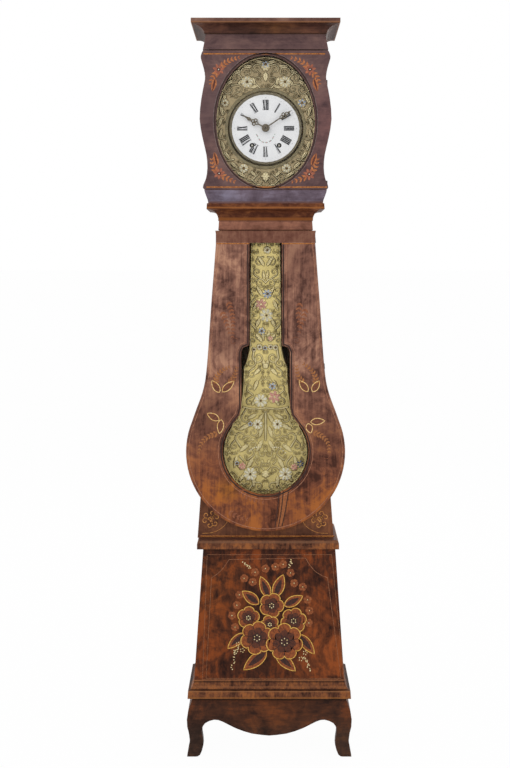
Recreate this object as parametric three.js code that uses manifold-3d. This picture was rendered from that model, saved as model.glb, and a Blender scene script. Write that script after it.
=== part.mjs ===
// A morbier clock: a tall painted case with a violin-shaped trunk door, an iron-cage
// movement with a bell, an enamel dial in an embossed brass surround, and a wide brass
// pendulum. Millimetres, +Z up, the front faces -Y, and the origin lies at the bottom centre.
import * as THREE from 'three';
import { mergeVertices } from 'three/addons/utils/BufferGeometryUtils.js';
import Module from 'manifold-3d';

const wasm = await Module();
wasm.setup();

// Clearances that the whole clock shares
const seatGap = 0.3;
const cutOverrun = 6;

// Case: boards and planes
const backPlane = 145;
const backBoardThickness = 12;
const boardThickness = 16;
const headBoardThickness = 14;
const frameThickness = 20;
const trunkShift = -12;
const waistShift = -4;

// Feet and base
const apronHeight = 187;
const apronThickness = 18;
const apronBulge = 18;
const apronReveal = 1;
const basePanelHeight = 487.6;
const baseHalfBottom = 250;
const baseHalfTop = 216.5;
const baseFront = -80;
const basePanelThickness = 18;
const baseMouldingProjection = 17;
const baseMouldingBandHeight = 27.5;
const baseMouldingCoveHeight = 29;
const baseMouldingEdge = 0.5;
const baseMouldingFillet = 3.5;

// Waist frame between base and trunk
const waistThickness = 28.6;
const waistProjection = 15.5;
const waistLedgeWidth = 42;
const waistFilletWidth = 7;

// Trunk
const trunkHeight = 1101;
const trunkHalfBottom = 224.3;
const trunkHalfTop = 145;
const trunkFront = -60;
const frameSetBack = 15;
const trunkCorniceHeight = 86.6;
const trunkCorniceLipHeight = 19;
const trunkCorniceLipProjection = 46;
const trunkCorniceNeckProjection = 4.5;
const trunkCorniceNeckHeight = 31;

// Trunk door
const trunkDoorThickness = 21.7;
const trunkDoorBottomRise = 26;
const trunkDoorBellyRadius = 261;
const trunkDoorTopOverhang = 13.6;
const trunkDoorTopGap = 2;
const trunkDoorTopRail = 40;
const doorSlotHalfWidth = 53.5;
const doorNeckHalfWidth = 80;
const doorBellyOpeningRadius = 141.5;
const doorShoulderDrop = 375.5;
const doorShoulderHeight = 23;
const glassThickness = 3;
const glassRebateWidth = 7;
const glassRebateDepth = 5.5;
const doorEdgeBevel = 2.5;

// Head
const headSideHeight = 580.3;
const headHalfWidth = 186;
const headFront = -85;
const topBoardThickness = 14;
const topBoardHalfWidth = 241;
const topBoardDepth = 290;
const corniceHeight = 27.5;
const corniceTopProjection = 51;
const corniceBottomProjection = 13.5;
const friezeHeight = 51.5;
const friezeTopProjection = 9.5;
const friezeBottomProjection = 18.5;
const lowerBandHeight = 44;
const lowerBandTopProjection = 14;
const lowerBandBottomProjection = 1.5;

// Head door
const headDoorThickness = 19.7;
const headDoorOverhang = 29;
const headDoorWaistShare = 0.882;
const headDoorGapBelow = 0.6;
const headDoorGapAbove = 2.6;
const ovalStileWidth = 27.6;
const ovalBottomRail = 7.5;
const ovalTopRail = 15.3;
const ovalCentreAboveDial = 19.5;
const ovalRebateWidth = 4;

// Hinges, all on the right
const headHingeOffset = 12;
const trunkHingeOffset = 7;
const hingeForward = 3;
const knuckleRadius = 4.5;
const hingePinRadius = 2;
const hingeBoreRadius = 2.35;
const hingeHalfHeight = 9;
const hingePinLength = 7;
const hingeBoreDepth = 7.8;
const hingeLeafThickness = 3;
const hingeLeafDepth = 24;
const hingeTabWidth = 23;
const hingeTabThickness = 2.5;
const hingeNotchClearance = 0.6;
const headHingeUpperAboveDial = 146;
const headHingeLowerBelowDial = 183;
const trunkHingeUpperBelowTop = 31;
const trunkHingeLowerAboveBelly = 279;

// Movement cage, measured from the dial's centre
const cageDrop = 127.9;
const cageHalfWidth = 96;
const cageFront = -14;
const cageBack = 116;
const cageRise = 111.5;
const cagePlateThickness = 6;
const cagePillarSize = 8;
const strapThickness = 6;
const sideStrapInner = 38;
const sideStrapOuter = 54;
const centreStrapLeft = -9;
const centreStrapRight = 29;
const seatBoardThickness = 20;
const seatBoardHalfWidth = 150;
const seatBoardFront = -17;
const seatBoardBackGap = 6;
const cordSlotHalfWidth = 9;
const cordSlotFront = 26;
const cordSlotBack = 80;
const dialFootRadius = 3;
const dialFootX = 84;
const dialFootTop = 96;
const dialFootBottom = -112;
const suspensionCockHalfWidth = 8;
const suspensionCockFront = -37;
const suspensionCockBottom = 100.5;
const bellPostRadius = 5;

// Arbors and train
const pivotRadius = 1.5;
const pivotHoleRadius = 1.9;
const arborRadius = 1.7;
const arborShoulderGap = 0.4;
const wheelThickness = 3;
const pinionLength = 7;
const addendumShare = 0.6;
const dedendumShare = 1.35;
const windingX = 44.5;
const windingZ = -56;
const greatTeeth = 72;
const greatPinionTeeth = 6;
const greatModule = 1.1;
const greatWheelFront = 88;
const driveTeeth = 40;
const driveModule = 1.25;
const driveFront = -18.6;
const driveThickness = 2.4;
const secondTeeth = 60;
const secondModule = 1;
const secondWheelFront = 98;
const thirdPinionTeeth = 8;
const thirdAngle = 140;
const thirdTeeth = 56;
const thirdModule = 1;
const thirdWheelFront = 60;
const escapePinionTeeth = 7;
const escapeTeeth = 30;
const escapeRadius = 26;
const escapeToothDepth = 6;
const escapeWheelFront = 10;
const flyPinionTeeth = 6;
const flyAngle = 80;
const flyRadius = 26;
const flyFront = 58;
const flyLength = 26;
const flyThickness = 1.2;
const liftingPins = 8;
const liftingPinRadius = 1.5;
const liftingPinCircle = 24;
const liftingPinLength = 6;

// Barrels, weights and cords
const barrelRadius = 13;
const barrelFront = 22;
const barrelBack = 84;
const barrelFlangeRadius = 19;
const barrelFlangeThickness = 2.5;
const barrelArborRadius = 4;
const barrelArborBore = 4.4;
const windingSquareSide = 6;
const windingSquareFront = -66;
const cordRadius = 1.25;
const weightRadius = 42;
const weightHeight = 122;
const weightHookHeight = 24;
const weightHookRadius = 5;
const weightEdge = 5;
const weightRestHeight = 232;

// Motion work in front of the cage
const motionModule = 0.95;
const cannonTeeth = 12;
const minuteWheelTeeth = 48;
const minutePinionTeeth = 15;
const hourWheelTeeth = 45;
const centrePostRadius = 2.2;
const cannonBore = 2.5;
const cannonPipeRadius = 3.9;
const hourPipeBore = 4.3;
const hourPipeRadius = 6;
const minuteWheelFront = -22.2;
const minuteWheelThickness = 2;
const hourWheelFront = -26.6;
const hourWheelThickness = 2;
const minuteStudRadius = 2;
const minuteStudBore = 2.4;
const minuteStudFront = -28;

// Dial and hands
const surroundFront = -62;
const surroundThickness = 2;
const surroundMargin = 7;
const surroundRelief = 3;
const surroundRingWidth = 9;
const dialRadius = 118;
const dialThickness = 4;
const dialDome = 2.5;
const dialHoleRadius = 8;
const bezelInnerRadius = 111.5;
const bezelOuterRadius = 124.5;
const bezelFront = -73;
const minuteHandLength = 107;
const hourHandLength = 90;
const handThickness = 1.3;
const hourHandFront = -77.3;
const minuteHandFront = -81;
const postFront = -83.4;
const handHubRadius = 13;
const handEyeRadius = 6.3;
const handStemHalfWidth = 2;
const minuteClusterFrom = 56;
const minuteClusterTo = 90;
const minuteClusterHalfWidth = 11;
const minuteLeafHalfWidth = 3;
const hourClusterFrom = 27;
const hourClusterTo = 54;
const hourClusterHalfWidth = 13;
const hourLeafHalfWidth = 6;
const minuteHandAngle = 56.1;
const hourHandAngle = 298.6;

// Anchor, crutch and pendulum
const pendulumPivotZ = 97;
const anchorPalletClearance = 2.3;
const anchorPalletAngle = 50;
const anchorThickness = 5;
const anchorArmHalfWidth = 3.2;
const crutchFront = -24;
const crutchForkHeight = 62;
const crutchProngLength = 11;
const rodHalfWidth = 4;
const rodFront = -33;
const rodThickness = 4;
const springHalfWidth = 4.5;
const springThickness = 1;
const springBottom = 78;
const rodRingInner = 14;
const rodRingOuter = 18.5;
const lyreFront = -36.6;
const lyreThickness = 3.3;
const lyreTop = -318;
const lyreBottom = -1211.5;
const lyreBulbRadius = 141;

// Bell and hammer
const bellRadius = 60;
const bellHeight = 38;
const bellThickness = 3;
const bellMouthRise = 22;
const bellPostPin = 3;
const hammerArborZ = 78;
const hammerHeadRadius = 7;
const hammerHeadX = -70;
const hammerHeadZ = 141;
const hammerStemHalfWidth = 2.2;
const hammerTailEndX = -62;
const hammerTailEndZ = 13;
const hammerTailFront = 91;
const hammerTailBack = 95;

// Facets of round pieces
const largeSides = 36;
const smallSides = 8;
const outlineSteps = 26;

// Heights that follow from the stack of sections
const apronHalfWidth = baseHalfBottom + apronReveal;
const baseBottom = apronHeight + seatGap;
const baseTop = baseBottom + basePanelHeight;
const waistBottom = baseTop + seatGap;
const waistTop = waistBottom + waistThickness;
const trunkBottom = waistTop + seatGap;
const trunkTop = trunkBottom + trunkHeight;
const headBottom = trunkTop + seatGap;
const headTop = headBottom + headSideHeight;
const boardBack = backPlane - backBoardThickness - seatGap;
const trunkDoorTop = trunkTop - trunkCorniceHeight - trunkDoorTopGap;
const trunkDoorBottom = trunkBottom + trunkDoorBottomRise;
const bellyCentre = trunkDoorBottom + trunkDoorBellyRadius;
const trunkDoorFront = trunkFront - seatGap - trunkDoorThickness;
const headDoorBack = headFront - seatGap;
const headDoorFront = headDoorBack - headDoorThickness;
const headDoorBottom = headBottom + lowerBandHeight + headDoorGapBelow;
const headDoorTop = headTop - corniceHeight - seatGap - friezeHeight - headDoorGapAbove;
const headDoorHalfWidth = headHalfWidth + headDoorOverhang;
const ovalHalfWidth = headDoorWaistShare * headDoorHalfWidth - ovalStileWidth;
const ovalHalfHeight = (headDoorTop - ovalTopRail - headDoorBottom - ovalBottomRail) / 2;
const ovalCentre = headDoorBottom + ovalBottomRail + ovalHalfHeight;
const dialCentreHeight = ovalCentre - ovalCentreAboveDial;
const cageBottom = -cageDrop;
const cheekTop = dialCentreHeight - cageDrop - seatBoardThickness - 2 * seatGap;

// Half-widths of the slanting sides at a height
function baseHalfAt(z) {
  return baseHalfBottom + ((baseHalfTop - baseHalfBottom) * (z - baseBottom)) / basePanelHeight;
}

function trunkHalfAt(z) {
  return trunkHalfBottom + ((trunkHalfTop - trunkHalfBottom) * (z - trunkBottom)) / trunkHeight;
}

function headHalfAt() {
  return headHalfWidth;
}

// Solids and their joins and cuts
function toSolid(geometry) {
  const bare = geometry.clone();
  bare.deleteAttribute('normal');
  bare.deleteAttribute('uv');
  const merged = mergeVertices(bare);
  const vertProperties = new Float32Array(merged.attributes.position.array);
  const triVerts = new Uint32Array(merged.index.array);
  return new wasm.Manifold(new wasm.Mesh({ numProp: 3, vertProperties, triVerts }));
}

function toGeometry(solid) {
  const mesh = solid.getMesh();
  const geometry = new THREE.BufferGeometry();
  geometry.setAttribute('position', new THREE.BufferAttribute(mesh.vertProperties, 3));
  geometry.setIndex(new THREE.BufferAttribute(mesh.triVerts, 1));
  geometry.computeVertexNormals();
  return geometry;
}

function join(...pieces) {
  return toGeometry(pieces.map(toSolid).reduce((whole, piece) => whole.add(piece)));
}

function cut(body, ...tools) {
  return toGeometry(tools.map(toSolid).reduce((whole, tool) => whole.subtract(tool), toSolid(body)));
}

// Plain forms, placed where they belong
function block(xFrom, xTo, yFrom, yTo, zFrom, zTo) {
  const geometry = new THREE.BoxGeometry(xTo - xFrom, yTo - yFrom, zTo - zFrom);
  return geometry.translate((xFrom + xTo) / 2, (yFrom + yTo) / 2, (zFrom + zTo) / 2);
}

function rodY(radius, yFrom, yTo, x, z, sides = smallSides) {
  const geometry = new THREE.CylinderGeometry(radius, radius, yTo - yFrom, sides);
  return geometry.translate(x, (yFrom + yTo) / 2, z);
}

function rodZ(radius, zFrom, zTo, x, y, sides = smallSides) {
  const geometry = new THREE.CylinderGeometry(radius, radius, zTo - zFrom, sides);
  return geometry.rotateX(Math.PI / 2).translate(x, y, (zFrom + zTo) / 2);
}

// A plate standing in the XZ plane, from an outline whose second coordinate is the height
function plate(shape, yFront, yBack, bevel = 0) {
  const options = { depth: yBack - yFront - 2 * bevel, bevelEnabled: bevel > 0, bevelSegments: 1 };
  options.bevelSize = bevel;
  options.bevelThickness = bevel;
  options.bevelOffset = -bevel;
  const geometry = new THREE.ExtrudeGeometry(shape, options);
  return geometry.rotateX(Math.PI / 2).translate(0, yBack - bevel, 0);
}

function outline(points) {
  return new THREE.Shape(points.map(([x, z]) => new THREE.Vector2(x, z)));
}

function hole(points) {
  return new THREE.Path(points.map(([x, z]) => new THREE.Vector2(x, z)));
}

function circlePoints(radius, x, z, sides, scaleZ = 1) {
  const points = [];
  for (let i = 0; i < sides; i += 1) {
    const angle = (2 * Math.PI * i) / sides;
    points.push([x + radius * Math.cos(angle), z + radius * scaleZ * Math.sin(angle)]);
  }
  return points;
}

// A smooth curve through hand-chosen points, each stretch between two of them cut alike
function smooth(points, stretchSteps) {
  const curve = new THREE.SplineCurve(points.map(([x, z]) => new THREE.Vector2(x, z)));
  const steps = (points.length - 1) * stretchSteps;
  return curve.getPoints(steps).map((point) => [point.x, point.y]);
}

// The right half of an outline, from bottom to top, with its mirror image
function mirrored(rightHalf) {
  const leftHalf = rightHalf.filter(([x]) => x > 0).map(([x, z]) => [-x, z]).reverse();
  return rightHalf.concat(leftHalf);
}

// A straight or U-shaped moulding: one profile ring of [outward, height] at each station
function sweep(profile, stations) {
  const positions = [];
  stations.forEach((place) => profile.forEach(([out, z]) => positions.push(...place(out, z))));
  const count = profile.length;
  const index = [];
  for (let s = 0; s + 1 < stations.length; s += 1) {
    for (let p = 0; p < count; p += 1) {
      const a = s * count + p;
      const b = s * count + ((p + 1) % count);
      index.push(a, b, b + count, a, b + count, a + count);
    }
  }
  const ring = profile.map(([out, z]) => new THREE.Vector2(out, z));
  const last = (stations.length - 1) * count;
  THREE.ShapeUtils.triangulateShape(ring, []).forEach(([a, b, c]) => {
    index.push(a, c, b, last + a, last + b, last + c);
  });
  const geometry = new THREE.BufferGeometry();
  geometry.setAttribute('position', new THREE.Float32BufferAttribute(positions, 3));
  geometry.setIndex(index);
  geometry.computeVertexNormals();
  return geometry;
}

// The profile runs anticlockwise seen with its outward side to the right
function wrapAround(profile, halfAt, front, back) {
  return sweep(profile, [
    (out, z) => [halfAt(z) + out, back, z],
    (out, z) => [halfAt(z) + out, front - out, z],
    (out, z) => [-halfAt(z) - out, front - out, z],
    (out, z) => [-halfAt(z) - out, back, z],
  ]);
}

// The points between two others on a quarter of an ellipse, which leaves upright or level
function quarter(from, to, steps, leavesLevel = false) {
  const points = [];
  for (let i = 1; i < steps; i += 1) {
    const angle = (Math.PI / 2) * (i / steps);
    const late = 1 - Math.cos(angle);
    const early = Math.sin(angle);
    points.push([
      from[0] + (to[0] - from[0]) * (leavesLevel ? early : late),
      from[1] + (to[1] - from[1]) * (leavesLevel ? late : early),
    ]);
  }
  return points;
}

// Finishes
function finish(color, roughness, metalness) {
  return new THREE.MeshStandardMaterial({ color, roughness, metalness });
}

const headPaint = finish(0x43302f, 0.5, 0);
const bandPaint = finish(0x3a3038, 0.5, 0);
const redPaint = finish(0x7a3a20, 0.45, 0);
const corniceWood = finish(0x54301f, 0.5, 0);
const rawPine = finish(0x8f6f4c, 0.8, 0);
const clearGlass = finish(0xe8efec, 0.05, 0);
const darkIron = finish(0x33302e, 0.6, 0.8);
const brass = finish(0xb79a4a, 0.35, 0.9);
const embossedBrass = finish(0xb8ab62, 0.45, 0.8);
const enamel = finish(0xf0efe8, 0.15, 0);
const bellBronze = finish(0xa98e5a, 0.3, 0.9);
const hempCord = finish(0xa89878, 0.9, 0);
const castIron = finish(0x2b2a29, 0.7, 0.6);
const pierced = finish(0x6d6656, 0.4, 0.8);

function place(parent, name, geometry, material) {
  const mesh = new THREE.Mesh(geometry, material);
  mesh.name = name;
  parent.add(mesh);
  return mesh;
}

// Feet: ogee boards with a scrolled lower edge, mitred at the front corners
const apronProfileShares = [
  [0.94, 0], [0.9, 0.04], [0.6, 0.15], [0.5, 0.27], [0.66, 0.4], [0.93, 0.52],
  [1, 0.65], [0.78, 0.79], [0.3, 0.91], [0, 1],
];
const frontScrollShares = [
  [0.886, 0], [0.84, 0.03], [0.8, 0.19], [0.815, 0.38], [0.815, 0.48],
  [0.778, 0.583], [0.67, 0.645], [0.567, 0.612], [0.4, 0.487], [0.21, 0.388], [0, 0.352],
];
const sideScrollShares = [
  [0.6, 0], [0.55, 0.03], [0.5, 0.19], [0.52, 0.38], [0.52, 0.48], [0.44, 0.6],
  [0.32, 0.61], [0.16, 0.5], [0, 0.46],
];

function apronRing() {
  const outer = apronProfileShares.map(([out, z]) => [out * apronBulge, z * apronHeight]);
  return [[-apronThickness, 0], ...outer, [-apronThickness, apronHeight]];
}

function scrollCutter(shares, halfLength, yFrom, yTo) {
  const edge = shares.map(([along, up]) => [along * halfLength, up * apronHeight]);
  const curve = [[edge[0][0], -cutOverrun], ...smooth(edge, 2)];
  return plate(outline(mirrored(curve)), yFrom, yTo);
}

function frontApron(front) {
  const board = sweep(apronRing(), [
    (out, z) => [apronHalfWidth + out - seatGap, front - out, z],
    (out, z) => [-apronHalfWidth - out + seatGap, front - out, z],
  ]);
  const halfLength = apronHalfWidth + apronBulge;
  const reach = apronBulge + cutOverrun;
  const scroll = scrollCutter(frontScrollShares, halfLength, front - reach, front + apronThickness + reach);
  return cut(board, scroll);
}

function sideApron(front, side) {
  const right = [
    (out, z) => [apronHalfWidth + out, backPlane, z],
    (out, z) => [apronHalfWidth + out, front - out + seatGap, z],
  ];
  const left = [
    (out, z) => [-apronHalfWidth - out, front - out + seatGap, z],
    (out, z) => [-apronHalfWidth - out, backPlane, z],
  ];
  const board = sweep(apronRing(), side > 0 ? right : left);
  const halfLength = (backPlane - front) / 2;
  const reach = apronBulge + cutOverrun;
  const scroll = scrollCutter(
    sideScrollShares, halfLength, -apronHalfWidth - reach, apronHalfWidth + reach,
  );
  scroll.rotateZ(Math.PI / 2).translate(0, (backPlane + front) / 2, 0);
  return cut(board, scroll);
}

// A board that follows a slanting side
function slantingBoard(side, thickness, halfAt, yFrom, yTo, zFrom, zTo) {
  const shape = outline([
    [side * halfAt(zFrom), zFrom],
    [side * halfAt(zTo), zTo],
    [side * (halfAt(zTo) - thickness), zTo],
    [side * (halfAt(zFrom) - thickness), zFrom],
  ]);
  return plate(shape, yFrom, yTo);
}

function baseMoulding() {
  const bottom = baseBottom;
  const bandTop = bottom + baseMouldingBandHeight;
  const top = bandTop + baseMouldingCoveHeight;
  const edge = baseMouldingProjection - 3 * seatGap;
  const foot = [baseMouldingProjection - baseMouldingFillet, bandTop];
  const profile = [
    [seatGap, bottom], [edge, bottom], [baseMouldingProjection, bottom + 3 * seatGap],
    [baseMouldingProjection, bandTop - 3 * seatGap], foot,
    ...quarter(foot, [baseMouldingEdge + seatGap, top], 5, true),
    [baseMouldingEdge + seatGap, top], [seatGap, top],
  ];
  return wrapAround(profile, baseHalfAt, baseFront, boardBack);
}

function buildBase() {
  const base = new THREE.Group();
  const apronFront = baseFront - apronReveal;
  place(base, 'foot_apron_front', frontApron(apronFront), redPaint);
  place(base, 'foot_apron_left', sideApron(apronFront, -1), redPaint);
  place(base, 'foot_apron_right', sideApron(apronFront, 1), redPaint);
  const panelBack = baseFront + basePanelThickness;
  const panel = outline([
    [-baseHalfBottom, baseBottom], [baseHalfBottom, baseBottom],
    [baseHalfTop, baseTop], [-baseHalfTop, baseTop],
  ]);
  place(base, 'base_front_panel', plate(panel, baseFront, panelBack), redPaint);
  for (const [name, side] of [['base_left_side', -1], ['base_right_side', 1]]) {
    const board = slantingBoard(
      side, boardThickness, baseHalfAt, panelBack + seatGap, boardBack, baseBottom, baseTop,
    );
    place(base, name, board, redPaint);
  }
  place(base, 'base_moulding', baseMoulding(), redPaint);
  return base;
}

function waistFrame() {
  const middle = waistBottom + waistThickness / 2;
  const shoulder = waistProjection - waistFilletWidth;
  const profile = [
    [-waistLedgeWidth, waistBottom], [waistProjection - seatGap, waistBottom],
    [waistProjection, waistBottom + seatGap], [waistProjection, middle - seatGap],
    ...quarter([waistProjection, middle], [shoulder, waistTop - seatGap], 4),
    [shoulder, waistTop], [-waistLedgeWidth, waistTop],
  ];
  return wrapAround(profile, () => baseHalfTop, baseFront, boardBack);
}

// One back board for the whole case, stepped where the sections meet
function backBoard() {
  const shoulder = trunkTop;
  const right = [
    [baseHalfBottom, baseBottom], [baseHalfTop, baseTop],
    [trunkHalfAt(waistTop), waistTop], [trunkHalfAt(shoulder), shoulder],
    [headHalfWidth, shoulder], [headHalfWidth, headTop],
  ];
  const left = right.map(([x, z]) => [-x, z]).reverse();
  const shifted = ([x, z]) => [z > baseTop ? x + trunkShift : x, z];
  const shape = outline(right.map(shifted).concat(left.map(shifted)));
  return plate(shape, backPlane - backBoardThickness, backPlane);
}

// Trunk: its front frame, cornice and sides
function trunkFrontFrame() {
  const shape = outline([
    [-trunkHalfBottom, trunkBottom], [trunkHalfBottom, trunkBottom],
    [trunkHalfTop, trunkTop], [-trunkHalfTop, trunkTop],
  ]);
  shape.holes.push(hole(trunkDoorOpening(frameSetBack)));
  return plate(shape, trunkFront, trunkFront + frameThickness);
}

function trunkCornice() {
  const bottom = trunkTop - trunkCorniceHeight;
  const neckTop = bottom + trunkCorniceNeckHeight;
  const lipBottom = trunkTop - trunkCorniceLipHeight;
  const neck = trunkCorniceNeckProjection;
  const bead = neck + trunkCorniceNeckProjection / 2;
  const lipFoot = [trunkCorniceLipProjection - neck, lipBottom];
  const profile = [
    [seatGap, bottom], [neck, bottom], [neck, neckTop], [bead, neckTop],
    ...quarter([bead, neckTop], lipFoot, 7),
    lipFoot, [trunkCorniceLipProjection, lipBottom], [trunkCorniceLipProjection, trunkTop],
    [seatGap, trunkTop],
  ];
  return wrapAround(profile, trunkHalfAt, trunkFront, boardBack);
}

function buildTrunk() {
  const trunk = new THREE.Group();
  trunk.position.x = trunkShift;
  place(trunk, 'trunk_front_frame', trunkFrontFrame(), redPaint);
  for (const [name, side] of [['trunk_left_side', -1], ['trunk_right_side', 1]]) {
    const board = slantingBoard(
      side, boardThickness, trunkHalfAt, trunkFront + frameThickness + seatGap, boardBack,
      trunkBottom, cheekTop,
    );
    place(trunk, name, board, redPaint);
  }
  place(trunk, 'trunk_cornice', trunkCornice(), corniceWood);
  return trunk;
}

// The violin outlines of both doors, as shares of half-width and height from the bottom
const trunkDoorEdgeShares = [
  [0.9253, 0.365], [0.8747, 0.403], [0.817, 0.443], [0.774, 0.4815], [0.748, 0.523],
  [0.7215, 0.602], [0.679, 0.769], [0.6253, 0.9555], [0.632, 1],
];
const headDoorEdgeShares = [
  [0.926, 0], [0.949, 0.013], [0.938, 0.04], [0.903, 0.08], [headDoorWaistShare, 0.154], [0.897, 0.25],
  [0.955, 0.37], [1, 0.505], [0.975, 0.65], [0.931, 0.76], [0.917, 0.81], [0.938, 0.87],
  [0.975, 0.93], [0.983, 0.956], [0.965, 0.985], [0.945, 1],
];

function trunkDoorOutline() {
  const height = trunkDoorTop - trunkDoorBottom;
  const side = trunkDoorEdgeShares.map(([across, up]) => [
    across * trunkDoorBellyRadius, trunkDoorBottom + up * height,
  ]);
  side[side.length - 1][0] = trunkHalfAt(trunkDoorTop) + trunkDoorTopOverhang;
  const start = Math.asin((side[0][1] - bellyCentre) / trunkDoorBellyRadius);
  const points = [];
  for (let i = 0; i < outlineSteps; i += 1) {
    const angle = -Math.PI / 2 + ((start + Math.PI / 2) * i) / outlineSteps;
    points.push([
      trunkDoorBellyRadius * Math.cos(angle), bellyCentre + trunkDoorBellyRadius * Math.sin(angle),
    ]);
  }
  points[0][0] = 0;
  return mirrored(points.concat(smooth(side, 2)));
}

// The glazed opening, grown by a margin for the rebate behind it
function trunkDoorOpening(margin) {
  const radius = doorBellyOpeningRadius + margin;
  const neck = doorNeckHalfWidth + margin;
  const slot = doorSlotHalfWidth + margin;
  const shoulder = trunkDoorTop - doorShoulderDrop;
  const end = Math.acos(neck / radius) - Math.PI / 14;
  const points = [];
  for (let i = 0; i <= outlineSteps / 2; i += 1) {
    const angle = -Math.PI / 2 + ((end + Math.PI / 2) * 2 * i) / outlineSteps;
    points.push([radius * Math.cos(angle), bellyCentre + radius * Math.sin(angle)]);
  }
  points[0][0] = 0;
  const [lastX, lastZ] = points[points.length - 1];
  points.push([(lastX + neck) / 2 - (lastX - neck) / 4, lastZ + (lastX - neck)]);
  points.push([neck, lastZ + 2 * (lastX - neck)]);
  points.push([neck, shoulder - doorShoulderHeight]);
  points.push([neck - (neck - slot) / 4, shoulder - doorShoulderHeight / 3]);
  points.push([slot, shoulder]);
  points.push([slot, trunkDoorTop - trunkDoorTopRail + margin]);
  return mirrored(points);
}

// A hinge stands on its own axis: the case's side lies at -x, and the door in front
function hingeFixedHalf(offset) {
  const top = -seatGap / 2;
  const knuckle = rodZ(knuckleRadius, -hingeHalfHeight, top, 0, 0, smallSides);
  const pin = rodZ(hingePinRadius, top - hingePinRadius, hingePinLength, 0, 0, smallSides);
  const face = -offset + seatGap;
  const leaf = block(
    face, face + hingeLeafThickness, -hingePinRadius, hingeLeafDepth, -hingeHalfHeight, top,
  );
  const web = block(face, 0, -hingePinRadius, hingePinRadius, -hingeHalfHeight, top);
  return join(knuckle, pin, leaf, web);
}

function hingeDoorHalf() {
  const bottom = seatGap / 2;
  const knuckle = rodZ(knuckleRadius, bottom, hingeHalfHeight, 0, 0, smallSides);
  const floor = -knuckleRadius - hingeNotchClearance;
  const tab = block(
    -hingeTabWidth, 0, floor + seatGap, floor + seatGap + hingeTabThickness, bottom, hingeHalfHeight,
  );
  const bore = rodZ(hingeBoreRadius, bottom - cutOverrun, hingeBoreDepth, 0, 0, smallSides);
  return cut(join(knuckle, tab), bore);
}

function hingeNotch(reach) {
  const floor = -knuckleRadius - hingeNotchClearance;
  const end = hingeHalfHeight + hingeNotchClearance;
  return block(-hingeTabWidth - seatGap, reach, floor, hingeForward + cutOverrun, -end, end);
}

// Where each hinge stands: x, y, z and its lean to the left
const trunkLean = Math.atan((trunkHalfBottom - trunkHalfTop) / trunkHeight);

function trunkHingePlace(z) {
  const x = trunkHalfAt(z) + trunkHingeOffset / Math.cos(trunkLean);
  return { x, y: trunkFront - seatGap - hingeForward, z, lean: -trunkLean, offset: trunkHingeOffset };
}

function headHingePlace(z) {
  const x = headHalfWidth + headHingeOffset;
  return { x, y: headDoorBack - hingeForward, z, lean: 0, offset: headHingeOffset };
}

const hingePlaces = {
  head_hinge_upper: headHingePlace(dialCentreHeight + headHingeUpperAboveDial),
  head_hinge_lower: headHingePlace(dialCentreHeight - headHingeLowerBelowDial),
  trunk_hinge_upper: trunkHingePlace(trunkDoorTop - trunkHingeUpperBelowTop),
  trunk_hinge_lower: trunkHingePlace(bellyCentre + trunkHingeLowerAboveBelly),
};

function atHinge(geometry, { x, y, z, lean }) {
  return geometry.rotateY(lean).translate(x, y, z);
}

function buildHinges() {
  const hinges = new THREE.Group();
  hinges.position.x = trunkShift;
  for (const [name, spot] of Object.entries(hingePlaces)) {
    const stand = new THREE.Group();
    stand.position.set(spot.x, spot.y, spot.z);
    stand.rotation.y = spot.lean;
    place(stand, name, hingeFixedHalf(spot.offset), darkIron);
    place(stand, name.replace('hinge', 'door_knuckle'), hingeDoorHalf(), darkIron);
    hinges.add(stand);
  }
  return hinges;
}

function buildTrunkDoor() {
  const door = new THREE.Group();
  door.position.x = trunkShift;
  const shape = outline(trunkDoorOutline());
  shape.holes.push(hole(trunkDoorOpening(0)));
  const back = trunkFront - seatGap;
  const board = plate(shape, trunkDoorFront, back, doorEdgeBevel);
  const rebateBottom = back - glassRebateDepth;
  const rebate = plate(outline(trunkDoorOpening(glassRebateWidth)), rebateBottom, back + cutOverrun);
  const reach = trunkDoorBellyRadius;
  const notches = ['trunk_hinge_upper', 'trunk_hinge_lower'].map((name) => (
    atHinge(hingeNotch(reach), hingePlaces[name])
  ));
  place(door, 'trunk_door', cut(board, rebate, ...notches), redPaint);
  const pane = outline(trunkDoorOpening(glassRebateWidth - seatGap));
  const glassFront = rebateBottom + seatGap;
  place(door, 'trunk_door_glass', plate(pane, glassFront, glassFront + glassThickness), clearGlass);
  return door;
}

function buildHead() {
  const head = new THREE.Group();
  head.position.x = trunkShift;
  const inner = headHalfWidth - headBoardThickness;
  const leftSide = block(-headHalfWidth, -inner, headFront, boardBack, headBottom, headTop);
  const rightSide = block(inner, headHalfWidth, headFront, boardBack, headBottom, headTop);
  place(head, 'head_left_side', leftSide, headPaint);
  place(head, 'head_right_side', rightSide, headPaint);
  const boardFront = backPlane - topBoardDepth;
  const top = block(
    -topBoardHalfWidth, topBoardHalfWidth, boardFront, backPlane,
    headTop + seatGap, headTop + seatGap + topBoardThickness,
  );
  place(head, 'head_top_board', top, headPaint);
  place(head, 'head_cornice', headCornice(), headPaint);
  place(head, 'head_frieze', headFrieze(), headPaint);
  place(head, 'head_lower_band', headLowerBand(), bandPaint);
  return head;
}

function headCornice() {
  const bottom = headTop - corniceHeight;
  const foot = [corniceBottomProjection, bottom];
  const lip = [corniceTopProjection, headTop - 4 * seatGap];
  const bend = quarter(foot, lip, 6);
  const profile = [
    [seatGap, bottom], foot, ...bend, lip, [corniceTopProjection, headTop], [seatGap, headTop],
  ];
  return wrapAround(profile, headHalfAt, headFront, boardBack);
}

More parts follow.
